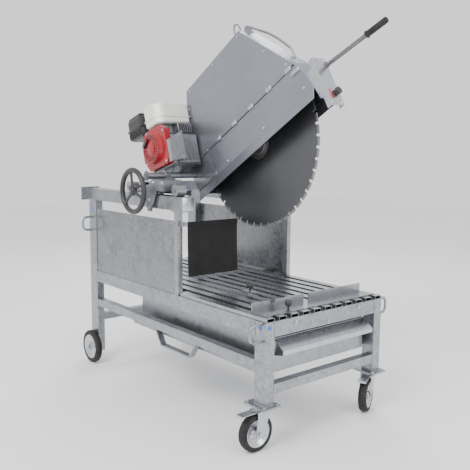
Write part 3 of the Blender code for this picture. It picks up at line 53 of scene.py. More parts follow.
CROSSBAR_LOW, CROSSBAR_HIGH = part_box("front_upper_crossbar")
ROOT = Vector((CROSSBAR_HIGH.x, (CROSSBAR_LOW.y + CROSSBAR_HIGH.y) / 2, 0))
HEAD_TILT = 31.0
ENGINE_TILT = 17.0
HALF_WIDTH = 0.45
SIDES = {"near": -1, "far": 1}


def joint_place(name):
    """A joint's place at rest."""
    return Vector(JOINTS[name]["pos_m"])


FRAME = Matrix.Translation(ROOT)
HEAD = Matrix.Translation(joint_place("head_tilt")) @ Matrix.Rotation(math.radians(-HEAD_TILT), 4, "Y")
ENGINE = Matrix.Translation(joint_place("engine_spin")) @ Matrix.Rotation(math.radians(-ENGINE_TILT), 4, "Y")
PLANT = Matrix.Rotation(math.radians(90), 4, "X")


# ---- Materials ---------------------------------------------------------------------------------------
class Value:
    """A number that varies over a surface; arithmetic on it adds Math nodes."""

    def __init__(self, look, socket):
        self.look = look
        self.socket = socket

    def maths(self, operation, first, second):
        made = self.look.node("Math", {"operation": operation}, {0: first, 1: second})
        return Value(self.look, made.outputs[0])

    def __add__(self, other):
        return self.maths("ADD", self, other)

    def __sub__(self, other):
        return self.maths("SUBTRACT", self, other)

    def __rsub__(self, other):
        return self.maths("SUBTRACT", other, self)

    def __mul__(self, other):
        return self.maths("MULTIPLY", self, other)

    __radd__ = __add__
    __rmul__ = __mul__


class Look:
    """A material round one Principled shader."""

    def __init__(self, name, metallic=0.0, coat=0.0, coat_roughness=0.1, specular=0.5):
        self.material = bpy.data.materials.new(name)
        self.material.use_nodes = True
        self.tree = self.material.node_tree
        self.shader = self.tree.nodes["Principled BSDF"]
        self.shader.inputs["Metallic"].default_value = metallic
        self.shader.inputs["Coat Weight"].default_value = coat
        self.shader.inputs["Coat Roughness"].default_value = coat_roughness
        self.shader.inputs["Specular IOR Level"].default_value = specular
        self.place = self.node("TexCoord").outputs["Object"]

    def node(self, kind, settings=None, values=None):
        made = self.tree.nodes.new("ShaderNode" + kind)
        for label, setting in (settings or {}).items():
            if label == "stops":
                ramp = made.color_ramp.elements
                for stop, (where, level) in zip(ramp, setting):
                    stop.position = where
                    stop.color = (level, level, level, 1)
            else:
                setattr(made, label, setting)
        for label, value in (values or {}).items():
            if isinstance(value, Value):
                value = value.socket
            if isinstance(value, bpy.types.NodeSocket):
                self.tree.links.new(value, made.inputs[label])
            else:
                made.inputs[label].default_value = value
        return made

    def noise(self, scale, detail=3.0, roughness=0.5, place=None):
        values = {"Vector": place or self.place, "Scale": scale, "Detail": detail, "Roughness": roughness}
        return Value(self, self.node("TexNoise", None, values).outputs["Fac"])

    def cells(self, scale):
        values = {"Vector": self.place, "Scale": scale}
        colour = self.node("TexVoronoi", None, values).outputs["Color"]
        parts = self.node("SeparateColor", None, {"Color": colour})
        return Value(self, parts.outputs[0])

    def ramp(self, value, low, high):
        made = self.node("ValToRGB", {"stops": ((low, 0.0), (high, 1.0))}, {0: value})
        return Value(self, made.outputs[0])

    def stretched(self, scale, centre=(0, 0, 0)):
        offset = tuple(-part * size for part, size in zip(centre, scale))
        values = {"Vector": self.place, "Location": offset, "Scale": scale}
        return self.node("Mapping", None, values).outputs[0]

    def mix(self, share, first, second):
        values = {0: share}
        for index, colour in ((6, first), (7, second)):
            values[index] = colour if isinstance(colour, bpy.types.NodeSocket) else (*colour, 1)
        return self.node("Mix", {"data_type": "RGBA"}, values).outputs[2]

    def set(self, colour, roughness, height=None, depth=0.0005):
        self.tree.links.new(colour, self.shader.inputs["Base Color"])
        self.tree.links.new(roughness.socket, self.shader.inputs["Roughness"])
        if height is not None:
            bump = self.node("Bump", None, {"Height": height, "Strength": 0.6, "Distance": depth})
            self.tree.links.new(bump.outputs[0], self.shader.inputs["Normal"])
        return self.material


def zinc_dip(name, light, dark, spangle=70.0, rough=0.40):
    """Hot-dip zinc: crystal patches, soft runs and a few dull stains."""
    look = Look(name, metallic=0.86)
    patches = look.cells(spangle) * 0.55 + look.cells(spangle * 0.37) * 0.45
    runs = look.noise(1.0, 4.0, 0.6, look.stretched((9, 9, 2.2)))
    stain = look.ramp(look.noise(5.5, 5.0, 0.65), 0.50, 0.72)
    colour = look.mix(patches * 0.6 + runs * 0.4, dark, light)
    colour = look.mix(stain * 0.35, colour, (0.30, 0.31, 0.32))
    fine = look.noise(260.0, 2.0)
    return look.set(colour, patches * 0.14 + stain * 0.16 + rough - 0.10, fine * 0.4 + patches * 0.6, 0.0003)


def satin_sheet(name, light, dark, rough=0.36):
    """Smooth rolled sheet with faint cloudiness, a fine rolling grain and handling marks."""
    look = Look(name, metallic=0.82)
    cloud = look.noise(2.6, 4.0, 0.55)
    grain = look.noise(1.0, 3.0, 0.6, look.stretched((14, 240, 240)))
    marks = look.ramp(look.noise(17.0, 6.0, 0.7), 0.58, 0.75)
    colour = look.mix(cloud * 0.75 + grain * 0.25, dark, light)
    colour = look.mix(marks * 0.18, colour, (0.55, 0.56, 0.58))
    return look.set(colour, cloud * 0.10 + marks * 0.10 + rough - 0.05, grain, 0.00015)


def bright_plate(name, light=(0.62, 0.63, 0.66), dark=(0.34, 0.35, 0.38), rough=0.20):
    """Bright zinc plate with dull specks."""
    look = Look(name, metallic=0.95)
    cloud = look.noise(22.0, 4.0, 0.6)
    specks = look.ramp(look.noise(120.0, 3.0, 0.6), 0.56, 0.72)
    colour = look.mix(cloud * 0.7 + specks * 0.3, light, dark)
    return look.set(colour, cloud * 0.12 + specks * 0.12 + rough, cloud, 0.0002)


def ground_steel(name, centre, light, dark, rough=0.30):
    """Steel with grinding rings round a centre, in the plane across Y."""
    look = Look(name, metallic=0.92)
    flat = look.stretched((1, 0, 1), centre)
    radius = look.node("VectorMath", {"operation": "LENGTH"}, {0: flat}).outputs["Value"]
    radius = Value(look, radius)
    along = look.node("CombineXYZ", None, {"X": radius * 420.0}).outputs[0]
    rings = look.noise(1.0, 4.0, 0.65, along)
    cloud = look.noise(6.0, 4.0, 0.6)
    rust = look.ramp(look.noise(34.0, 5.0, 0.7), 0.60, 0.80)
    colour = look.mix(rings * 0.6 + cloud * 0.4, dark, light)
    colour = look.mix(rust * 0.25, colour, (0.16, 0.12, 0.10))
    return look.set(colour, rings * 0.16 + cloud * 0.10 + rough - 0.06, rings, 0.00015)


def machined(name, light=(0.52, 0.52, 0.54), dark=(0.30, 0.30, 0.31), rough=0.30):
    """Turned or milled steel."""
    look = Look(name, metallic=0.92)
    cloud = look.noise(30.0, 4.0, 0.6)
    return look.set(look.mix(cloud, dark, light), cloud * 0.2 + rough - 0.08, look.noise(400.0), 0.0001)


def rubbery(name, dark=(0.010, 0.010, 0.011), dust=(0.060, 0.058, 0.055), rough=0.62):
    """Dusty rubber."""
    look = Look(name, specular=0.35)
    cloud = look.noise(14.0, 5.0, 0.65)
    pits = look.noise(520.0, 2.0)
    colour = look.mix(look.ramp(cloud, 0.42, 0.78) * 0.7, dark, dust)
    return look.set(colour, cloud * 0.22 + rough - 0.06, pits, 0.0004)


def moulded(name, base=(0.011, 0.011, 0.012), other=(0.030, 0.030, 0.032), rough=0.36):
    """Moulded plastic with a fine grain."""
    look = Look(name, coat=0.15, coat_roughness=0.3)
    grain = look.cells(900.0)
    cloud = look.noise(18.0, 4.0, 0.6)
    return look.set(look.mix(cloud, base, other), cloud * 0.16 + rough - 0.04, grain, 0.00025)


def paint(name, base, worn, rough=0.24, coat=0.6):
    """Sprayed enamel with dust."""
    look = Look(name, coat=coat, coat_roughness=0.08)
    cloud = look.noise(9.0, 4.0, 0.55)
    peel = look.noise(170.0, 2.0)
    dust = look.ramp(look.noise(30.0, 6.0, 0.7), 0.55, 0.80)
    colour = look.mix(cloud * 0.5 + dust * 0.35, base, worn)
    return look.set(colour, cloud * 0.10 + dust * 0.18 + rough, peel, 0.0002)


def casting(name, light=(0.34, 0.345, 0.355), dark=(0.14, 0.143, 0.15)):
    """Sand-cast aluminium with grime in its hollows."""
    look = Look(name, metallic=0.75)
    cloud = look.noise(16.0, 5.0, 0.6)
    sand = look.noise(330.0, 3.0)
    grime = look.ramp(look.noise(11.0, 5.0, 0.7), 0.50, 0.75)
    colour = look.mix(grime * 0.5, look.mix(cloud, dark, light), (0.09, 0.085, 0.08))
    return look.set(colour, cloud * 0.15 + grime * 0.15 + 0.40, sand, 0.0006)


BLADE_CENTRE = joint_place("blade_spin")
FINISHES = {
    "galvanised_tube": zinc_dip("dipped_tube", (0.44, 0.455, 0.48), (0.20, 0.21, 0.225), 70.0, 0.36),
    "galvanised_sheet": satin_sheet("rolled_sheet", (0.35, 0.36, 0.405), (0.20, 0.207, 0.245), 0.32),
    "bright_zinc": bright_plate("zinc_plate"),
    "steel": machined("machined_steel"),
    "blade_steel": ground_steel("saw_steel", BLADE_CENTRE, (0.17, 0.173, 0.18), (0.065, 0.067, 0.072)),
    "rubber": rubbery("tyre_rubber"),
    "black_plastic": moulded("moulded_black"),
    "red_paint": paint("red_enamel", (0.36, 0.003, 0.010), (0.20, 0.006, 0.010), 0.22, 0.35),
    "tank_paint": paint("white_enamel", (0.80, 0.80, 0.74), (0.62, 0.61, 0.56), 0.26, 0.5),
    "cast_aluminium": casting("sand_casting"),
}
TABLE_ZINC = bright_plate("worn_slats", (0.46, 0.47, 0.50), (0.13, 0.135, 0.15), 0.18)
TRAY_ZINC = zinc_dip("tray_zinc", (0.42, 0.44, 0.46), (0.24, 0.25, 0.27), 55.0, 0.36)
PANEL_ZINC = zinc_dip("panel_zinc", (0.33, 0.335, 0.35), (0.17, 0.173, 0.185), 40.0, 0.30)
SEGMENT = machined("diamond_segment", (0.36, 0.355, 0.34), (0.19, 0.187, 0.18), 0.40)
CURTAIN_RUBBER = rubbery("curtain_rubber", (0.004, 0.004, 0.004), (0.016, 0.016, 0.016), 0.66)
DARK_STEEL = machined("dark_steel", (0.26, 0.26, 0.27), (0.12, 0.12, 0.125), 0.34)
# Painted shade: SHADOW_SLOT is a near-black finish for the starter louvres and muffler slots, standing for the
# shade inside these openings.
SHADOW_SLOT = moulded("painted_shadow_slot", (0.004, 0.004, 0.004), (0.010, 0.010, 0.010), 0.6)
BLUE_LABEL = paint("blue_label", (0.015, 0.11, 0.48), (0.03, 0.15, 0.50), 0.30, 0.3)
RED_LABEL = paint("red_label", (0.60, 0.02, 0.02), (0.45, 0.03, 0.03), 0.35, 0.3)

OWN_LOOKS = {
    "table_grid": TABLE_ZINC,
    "fence": TABLE_ZINC,
    "water_tray": TRAY_ZINC,
    "splash_panel_near": PANEL_ZINC,
    "splash_panel_far": PANEL_ZINC,
}
for entry in frame["record"]["subparts"]:
    solid = frame["nodes"][entry["node"]]
    chosen = OWN_LOOKS.get(entry["node"], FINISHES[entry["material_slot"]])
    if not solid.material_slots:
        solid.data.materials.append(chosen)
    for holder in solid.material_slots:
        holder.material = chosen


# ---- Pieces ------------------------------------------------------------------------------------------
SHARP_ANGLE = 35      # degrees; edges that turn more than this are sharp
MERGE = 0.00001       # points closer than this are one point
ON_AXIS = 1e-6        # a smaller radius is on the axis
NEARWARD = (0, -1, 0)


def settle(piece, body, replaced=()):
    """Say which body a piece moves with and which solids it stands for."""
    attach(piece, body)
    if replaced:
        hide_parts(*replaced)
    return piece


def as_piece(name, shape, finish, body, smooth=SHARP_ANGLE, replaced=()):
    """Turn a bmesh into a settled piece whose place is in its mesh."""
    bmesh.ops.remove_doubles(shape, verts=shape.verts, dist=MERGE)
    bmesh.ops.recalc_face_normals(shape, faces=shape.faces)
    mesh = bpy.data.meshes.new(name)
    shape.to_mesh(mesh)
    shape.free()
    mesh.materials.append(finish)
    mesh.shade_smooth()
    mesh.set_sharp_from_angle(angle=math.radians(smooth))
    piece = bpy.data.objects.new(name, mesh)
    bpy.context.scene.collection.objects.link(piece)
    return settle(piece, body, replaced)


def add_ring(shape, profile, matrix=Matrix(), segments=64):
    """Turn a closed profile of (radius, height) points round the matrix's Z axis."""
    rings = []
    for step in range(segments):
        turn = 2 * math.pi * step / segments
        ring = [Vector((r * math.cos(turn), r * math.sin(turn), h)) for r, h in profile]
        rings.append([shape.verts.new(matrix @ point) for point in ring])
    for first, second in zip(rings, rings[1:] + rings[:1]):
        for index in range(len(profile)):
            after = (index + 1) % len(profile)
            corners = [first[index], first[after], second[after], second[index]]
            if profile[index][0] < ON_AXIS and profile[after][0] < ON_AXIS:
                continue
            shape.faces.new(corners)


def add_block(shape, low, high, bevel=0.0, matrix=Matrix()):
    """A block between two corners with rounded edges."""
    size = Vector(high) - Vector(low)
    middle = (Vector(low) + Vector(high)) / 2
    place = matrix @ Matrix.Translation(middle) @ Matrix.Diagonal((*size, 1))
    made = bmesh.ops.create_cube(shape, matrix=place)
    if bevel:
        edges = {edge for corner in made["verts"] for edge in corner.link_edges}
        bmesh.ops.bevel(
            shape, geom=list(edges), offset=bevel, segments=3, profile=0.5, affect="EDGES", clamp_overlap=True
        )


def add_slab(shape, outline, low, high, matrix=Matrix()):
    """A convex or simple outline in x and z, from low to high along y."""
    rows = [[shape.verts.new(matrix @ Vector((x, y, z))) for x, z in outline] for y in (low, high)]
    shape.faces.new(rows[0])
    shape.faces.new(list(reversed(rows[1])))
    count = len(outline)
    for index in range(count):
        after = (index + 1) % count
        shape.faces.new([rows[0][index], rows[1][index], rows[1][after], rows[0][after]])


def along_axis(centre, axis):
    """A place whose Z axis points along the axis given."""
    return Matrix.Translation(centre) @ Vector(axis).to_track_quat("Z", "Y").to_matrix().to_4x4()


def rod_profile(radius, start, end, soft=0.0015):
    """The profile of a solid rod whose ends have softened edges."""
    inner = radius - soft
    near_end = [(0.0, start), (inner, start), (radius, start + soft)]
    return near_end + [(radius, end - soft), (inner, end), (0.0, end)]


def mirrored(profile):
    """The other half of a profile that is alike on both sides of its middle."""
    return [(across, -along) for across, along in reversed(profile)]


def oval(wide, thick, count, middle=0.0):
    """Points round an oval section."""
    turns = [2 * math.pi * step / count for step in range(count)]
    return [(middle + wide * math.cos(turn), thick * math.sin(turn)) for turn in turns]


def tidy_caps(shape):
    """Merge the points that a turned solid has on its axis."""
    bmesh.ops.remove_doubles(shape, verts=shape.verts, dist=MERGE)
    bmesh.ops.dissolve_degenerate(shape, edges=shape.edges, dist=MERGE)


def turned(name, profile, matrix, segments, finish, body, capped=False, smooth=SHARP_ANGLE, replaced=()):
    """A piece that is one turned profile; a capped one reaches its axis."""
    shape = bmesh.new()
    add_ring(shape, profile, matrix, segments)
    if capped:
        tidy_caps(shape)
    return as_piece(name, shape, finish, body, smooth=smooth, replaced=replaced)


def blocks(name, sizes, matrix, finish, body, replaced=()):
    """A piece made of rounded blocks, each given as (low corner, high corner, bevel)."""
    shape = bmesh.new()
    for low, high, bevel in sizes:
        add_block(shape, low, high, bevel, matrix)
    return as_piece(name, shape, finish, body, replaced=replaced)


# ---- Geometry Nodes ----------------------------------------------------------------------------------
class Growth:
    """A Geometry Nodes tree with named inputs, ending in Realize Instances and Set Material."""

    KINDS = {float: "NodeSocketFloat", int: "NodeSocketInt", tuple: "NodeSocketVector"}

    def __init__(self, name, **sizes):
        self.tree = bpy.data.node_groups.new(name, "GeometryNodeTree")
        self.face = self.tree.interface
        self.face.new_socket(name="Geometry", in_out="INPUT", socket_type="NodeSocketGeometry")
        self.face.new_socket(name="Geometry", in_out="OUTPUT", socket_type="NodeSocketGeometry")
        for label, size in sizes.items():
            made = self.face.new_socket(name=label, in_out="INPUT", socket_type=self.KINDS[type(size)])
            made.default_value = size
        self.face.new_socket(name="Finish", in_out="INPUT", socket_type="NodeSocketMaterial")
        self.start = self.tree.nodes.new("NodeGroupInput")

    def size(self, label):
        return self.start.outputs[label]

    def node(self, kind, settings=None, values=None):
        made = self.tree.nodes.new(kind)
        for label, setting in (settings or {}).items():
            setattr(made, label, setting)
        for label, value in (values or {}).items():
            if isinstance(value, bpy.types.NodeSocket):
                self.tree.links.new(value, made.inputs[label])
            else:
                made.inputs[label].default_value = value
        return made.outputs[0]

    def close(self, points, instance, rotation=None):
        values = {"Points": points, "Instance": instance}
        if rotation is not None:
            values["Rotation"] = rotation
        placed = self.node("GeometryNodeInstanceOnPoints", None, values)
        real = self.node("GeometryNodeRealizeInstances", None, {"Geometry": placed})
        done = self.node("GeometryNodeSetMaterial", None, {"Geometry": real, "Material": self.size("Finish")})
        self.tree.links.new(done, self.tree.nodes.new("NodeGroupOutput").inputs[0])
        return self


def fastener_tree():
    """A hexagon head on a washer at each point, standing along the point's own axis."""
    growth = Growth("fasteners", Head=0.006, Height=0.005, Washer=0.009)
    head = growth.node("GeometryNodeMeshCylinder", None, {
        "Vertices": 6, "Radius": growth.size("Head"), "Depth": growth.size("Height")})
    washer = growth.node("GeometryNodeMeshCylinder", None, {
        "Vertices": 20, "Radius": growth.size("Washer"), "Depth": 0.003})
    raised = growth.node("GeometryNodeTransform", None, {"Geometry": head, "Translation": (0, 0, 0.003)})
    both = growth.tree.nodes.new("GeometryNodeJoinGeometry")
    growth.tree.links.new(raised, both.inputs[0])
    growth.tree.links.new(washer, both.inputs[0])
    axis = growth.node("GeometryNodeInputNamedAttribute", {"data_type": "FLOAT_VECTOR"}, {"Name": "axis"})
    turn = growth.node("FunctionNodeAlignRotationToVector", {"axis": "Z"}, {"Vector": axis})
    return growth.close(growth.size("Geometry"), both.outputs[0], turn)


def ring_tree():
    """Blocks round a circle in the XY plane, each with its X side pointing outwards."""
    growth = Growth("ring_of_blocks", Count=24, Radius=0.1, Block=(0.01, 0.01, 0.01))
    circle = growth.node("GeometryNodeMeshCircle", None, {
        "Vertices": growth.size("Count"), "Radius": growth.size("Radius")})
    block = growth.node("GeometryNodeMeshCube", None, {"Size": growth.size("Block")})
    place = growth.node("GeometryNodeInputPosition")
    turn = growth.node("FunctionNodeAlignRotationToVector", {"axis": "X"}, {"Vector": place})
    return growth.close(circle, block, turn)


def row_tree():
    """Blocks in a straight row."""
    sizes = {"First": (0.0, 0.0, 0.0), "Step": (0.0, 0.0, 0.01), "Block": (0.01, 0.01, 0.01)}
    growth = Growth("row_of_blocks", Count=6, **sizes)
    line = growth.node("GeometryNodeMeshLine", {"mode": "OFFSET"}, {
        "Count": growth.size("Count"), "Start Location": growth.size("First"), "Offset": growth.size("Step")})
    block = growth.node("GeometryNodeMeshCube", None, {"Size": growth.size("Block")})
    return growth.close(line, block)


def bead_tree():
    """Overlapping droplets along each edge: a weld."""
    growth = Growth("weld_beads", Spacing=0.0045, Bead=0.0036)
    curve = growth.node("GeometryNodeMeshToCurve", None, {"Mesh": growth.size("Geometry")})
    points = growth.node("GeometryNodeResampleCurve", {"mode": "LENGTH"}, {
        "Curve": curve, "Length": growth.size("Spacing")})
    drop = growth.node("GeometryNodeMeshIcoSphere", None, {"Radius": growth.size("Bead"), "Subdivisions": 2})
    return growth.close(points, drop)


FASTENERS, RING, ROW, BEADS = fastener_tree(), ring_tree(), row_tree(), bead_tree()


def grow(name, growth, finish, body, slot, seeds=None, matrix=None, **sizes):
    """Run a tree on a seed mesh, keep the plain result and settle it."""
    mesh = seeds or bpy.data.meshes.new(name + "_seed")
    piece = bpy.data.objects.new(name, mesh)
    bpy.context.scene.collection.objects.link(piece)
    step = piece.modifiers.new("growth", "NODES")
    step.node_group = growth.tree
    chosen = dict(sizes, Finish=finish)
    for item in growth.face.items_tree:
        if item.item_type == "SOCKET" and item.in_out == "INPUT" and item.name in chosen:
            step[item.identifier] = chosen[item.name]
    bpy.context.view_layer.update()
    evaluated = piece.evaluated_get(bpy.context.evaluated_depsgraph_get())
    result = bpy.data.meshes.new_from_object(evaluated)
    piece.modifiers.clear()
    piece.data = result
    result.name = name
    if matrix is not None:
        result.transform(matrix)
    result.shade_smooth()
    result.set_sharp_from_angle(angle=math.radians(SHARP_ANGLE))
    return settle(piece, body)


def fasteners(name, matrix, places, body, head, washer, height):
    """Bolt heads at (point, axis) places in the matrix's own frame."""
    seeds = bpy.data.meshes.new(name + "_seed")
    seeds.from_pydata([matrix @ Vector(point) for point, _ in places], [], [])
    axes = seeds.attributes.new("axis", "FLOAT_VECTOR", "POINT")
    turn = matrix.to_3x3()
    for index, (_, axis) in enumerate(places):
        axes.data[index].vector = turn @ Vector(axis)
    sizes = {"Head": head, "Washer": washer, "Height": height}
    return grow(name, FASTENERS, FINISHES["bright_zinc"], body, "bright_zinc", seeds, None, **sizes)


def welds(name, runs, body="frame", bead=0.0032):
    """Weld beads along straight runs in the design's own frame."""
    corners = [FRAME @ Vector(point) for run in runs for point in run]
    seeds = bpy.data.meshes.new(name + "_seed")
    seeds.from_pydata(corners, [(2 * index, 2 * index + 1) for index in range(len(runs))], [])
    return grow(name, BEADS, FINISHES["galvanised_tube"], body, "galvanised_tube", seeds, None, Bead=bead)


# ---- Wheels ------------------------------------------------------------------------------------------
WHEEL_SIZES = {"castor": (0.100, 0.050), "rear": (0.115, 0.045)}     # radius and width
CASTOR_X, CASTOR_Y, RACE_Z, PLATE_TOP = -0.05, 0.42, 0.218, 0.2415
AXLE_END = 0.0360


def wheel(kind, side_name):
    """A rubber tyre on a pressed steel rim with a dished centre, a hub and two rings of rivets."""
    radius, width = WHEEL_SIZES[kind]
    joint, body = f"{kind}_roll_{side_name}", f"{kind}_hub_{side_name}"
    matrix = along_axis(joint_place(joint), JOINTS[joint]["axis"])
    half = width / 2
    seat = radius * 0.70
    tyre = [(seat - 0.004, -half * 0.80), (seat + 0.004, -half * 0.90), (radius * 0.86, -half * 0.98)]
    tyre += [(radius * 0.95, -half * 0.86), (radius * 0.985, -half * 0.62), (radius, -half * 0.30)]
    turned(f"{kind}_tyre_{side_name}", tyre + mirrored(tyre), matrix, 72, FINISHES["rubber"], body,
           smooth=50, replaced=(f"{kind}_wheel_{side_name}",))
    dish = [(0.020, half * 0.52), (0.028, half * 0.30), (seat * 0.60, half * 0.22), (seat * 0.80, half * 0.50)]
    dish += [(seat * 0.92, half * 0.80), (seat + 0.003, half * 0.92), (seat + 0.005, half * 0.84)]
    hub = [(0.0068, half * 0.98), (0.017, half * 0.98), (0.021, half * 0.80), (0.021, half * 0.20)]
    shape = bmesh.new()
    add_ring(shape, dish + mirrored(dish), matrix, 64)
    add_ring(shape, hub + mirrored(hub), matrix, 40)
    as_piece(f"{kind}_rim_{side_name}", shape, FINISHES["bright_zinc"], body, smooth=40)
    for face_name, face in (("inner", -1), ("outer", 1)):
        place = matrix @ Matrix.Translation((0, 0, face * half * 0.26))
        grow(f"{kind}_rivets_{side_name}_{face_name}", RING, FINISHES["steel"], body, "steel", None, place,
             Count=6, Radius=seat * 0.50, Block=(0.007, 0.007, 0.005))


RACE = [(0.030, -0.006), (0.0455, -0.006), (0.048, 0.0), (0.0455, 0.006), (0.030, 0.006)]
for side_name, side in SIDES.items():
    wheel("castor", side_name)
    wheel("rear", side_name)
    axle = along_axis(joint_place(f"castor_roll_{side_name}"), JOINTS[f"castor_roll_{side_name}"]["axis"])
    ends = [((0, 0, way * AXLE_END), (0, 0, way)) for way in (-1, 1)]
    fasteners(f"castor_axle_nuts_{side_name}", axle, ends, f"castor_{side_name}", 0.011, 0.014, 0.009)
    race_place = Matrix.Translation(FRAME @ Vector((CASTOR_X, side * CASTOR_Y, RACE_Z)))
    turned(f"castor_race_{side_name}", RACE, race_place, 48, FINISHES["bright_zinc"], "frame")
    corners = [(CASTOR_X + x, side * CASTOR_Y + y, PLATE_TOP) for x in (-0.062, 0.062) for y in (-0.043, 0.043)]
    fasteners(f"castor_plate_bolts_{side_name}", FRAME, [(corner, (0, 0, 1)) for corner in corners], "frame",
              0.0075, 0.011, 0.007)

# ---- Frame details -----------------------------------------------------------------------------------
WELD_LIFT = 0.0003    # a weld's middle stands this far off the face
SIDE_RAIL_Z, LOWER_RAIL_Z, LOWER_CROSSBAR_Z = (0.594, 0.668), (0.419, 0.465), (0.299, 0.345)
LEG_INNER_X, CROSSBAR_END_Y = (-0.08, -1.76), 0.39
POST_X, POST_Z = (-0.795, -0.755), (0.6705, 1.1575)
REAR_LEG_X, REAR_LEG_TOP = (-1.858, -1.762), 1.1640
FORK_WELDS_X, FORK_WELD_Z = ((-1.010, -0.985), (-0.615, -0.590)), 0.4165
FOOT_X, FOOT_Y, FOOT_Z = (-0.079, -0.001), 0.392, 0.2405


def upright(x, y, span):
    """The two ends of a weld that runs over a span of heights."""
    return (x, y, span[0]), (x, y, span[1])


def level(span, y, z):
    """The two ends of a weld that runs over a span of x."""
    return (span[0], y, z), (span[1], y, z)


RUNS = []
for side in SIDES.values():
    face = side * (HALF_WIDTH + WELD_LIFT)
    RUNS += [upright(WELD_LIFT, side * CROSSBAR_END_Y, span) for span in (SIDE_RAIL_Z, LOWER_CROSSBAR_Z)]
    RUNS += [upright(x, face, span) for x in LEG_INNER_X for span in (SIDE_RAIL_Z, LOWER_RAIL_Z)]
    RUNS += [level(POST_X, face, POST_Z[0]), level(REAR_LEG_X, face, REAR_LEG_TOP)]
    RUNS += [level(POST_X, face, POST_Z[1])]
    RUNS += [level(span, face, FORK_WELD_Z) for span in FORK_WELDS_X]
    RUNS += [level(FOOT_X, face, FOOT_Z), ((WELD_LIFT, side * FOOT_Y, FOOT_Z), (WELD_LIFT, face, FOOT_Z))]
welds("frame_welds", RUNS)

BOLTS = [((0.0010, y, z), (1, 0, 0)) for y, z in ((-0.246, 0.644), (0.246, 0.649), (-0.002, 0.608))]
fasteners("crossbar_bolts", FRAME, BOLTS, "frame", 0.0085, 0.012, 0.008)
PANEL_X, PANEL_Y, PANEL_Z = (-1.735, -1.275, -0.825), 0.4470, (0.690, 1.088)
BOLTS = [((x, side * PANEL_Y, z), (0, side, 0)) for side in SIDES.values() for x in PANEL_X for z in PANEL_Z]
fasteners("panel_screws", FRAME, BOLTS, "frame", 0.0045, 0.007, 0.004)


def round_label(name, place, axis, radius):
    """A thin round sticker."""
    disc = along_axis(FRAME @ Vector(place), axis)
    turned(name, rod_profile(radius, -0.001, 0.0006, 0.0003), disc, 32, BLUE_LABEL, "frame",
           capped=True)


BEAM_INSET, CAP_HALF, CAP_X, CAP_Z = 0.04, 0.041, (-0.716, -0.708), (1.163, 1.245)
for side_name, side in SIDES.items():
    middle = side * (HALF_WIDTH - BEAM_INSET)
    corners = ((CAP_X[0], middle - CAP_HALF, CAP_Z[0]), (CAP_X[1], middle + CAP_HALF, CAP_Z[1]), 0.003)
    blocks(f"beam_cap_{side_name}", (corners,), FRAME, FINISHES["bright_zinc"], "frame")
    bolt = ((-0.7075, middle, 1.204), (1, 0, 0))
    fasteners(f"beam_cap_bolt_{side_name}", FRAME, [bolt], "frame", 0.009, 0.013, 0.008)
    for label, x, z in (("front", -0.040, 0.640), ("rear", -1.81, 1.10)):
        round_label(f"round_label_{label}_{side_name}", (x, side * HALF_WIDTH, z), (0, side, 0), 0.013)
round_label("round_label_corner", (0.0, -0.424, 0.642), (1, 0, 0), 0.012)

TRAY_RIM = (
    ((-1.322, -0.354, 0.558), (-0.048, -0.346, 0.566), 0.0015),
    ((-1.322, 0.346, 0.558), (-0.048, 0.354, 0.566), 0.0015),
    ((-1.324, -0.352, 0.558), (-1.316, 0.352, 0.566), 0.0015),
    ((-0.054, -0.352, 0.556), (-0.0485, 0.352, 0.5625), 0.0015),
)
blocks("tray_rim", TRAY_RIM, FRAME, TRAY_ZINC, "tray")

# ---- Rubber curtain ----------------------------------------------------------------------------------
LOW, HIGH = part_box("rubber_curtain")
HINGE = joint_place("curtain_swing")
COLUMNS, ROWS, SHEET = 30, 14, 0.0022      # SHEET is half the flap's thickness
WAVE, WAVE_STEP, BOW = 0.0045, 0.62, 0.010


def curtain_point(row, column, face):
    """A point of the flap, which is straight at the top, and wavy and bowed forwards at the bottom."""
    share = row / ROWS
    wave = WAVE * share * math.sin(column * WAVE_STEP) + BOW * share * share
    y = LOW.y + (HIGH.y - LOW.y) * column / COLUMNS
    return HINGE.x + wave + face * SHEET, y, HIGH.z + (LOW.z - HIGH.z) * share


shape = bmesh.new()
grids = []
for face in (-1, 1):
    grid = []
    for row in range(ROWS + 1):
        grid.append([shape.verts.new(curtain_point(row, column, face)) for column in range(COLUMNS + 1)])
    for upper, lower in zip(grid, grid[1:]):
        for column in range(COLUMNS):
            shape.faces.new([upper[column], upper[column + 1], lower[column + 1], lower[column]])
    grids.append(grid)
back, front = grids
RIM = [(0, column) for column in range(COLUMNS)] + [(row, COLUMNS) for row in range(ROWS)]
RIM += [(ROWS, column) for column in range(COLUMNS, 0, -1)] + [(row, 0) for row in range(ROWS, 0, -1)]
for (row, column), (next_row, next_column) in zip(RIM, RIM[1:] + RIM[:1]):
    side_back = [back[row][column], back[next_row][next_column]]
    side_front = [front[next_row][next_column], front[row][column]]
    shape.faces.new(side_back + side_front)
as_piece("curtain_flap", shape, CURTAIN_RUBBER, "curtain", smooth=60, replaced=("rubber_curtain",))
HALF_HEM = [(-0.0075, -0.006), (-0.0075, 0.017), (-0.005, 0.0195)]
HEM = HALF_HEM + [(-x, z) for x, z in reversed(HALF_HEM)]
shape = bmesh.new()
add_slab(shape, [(HINGE.x + x, HINGE.z + z) for x, z in HEM], LOW.y, HIGH.y)
as_piece("curtain_hem", shape, CURTAIN_RUBBER, "curtain")

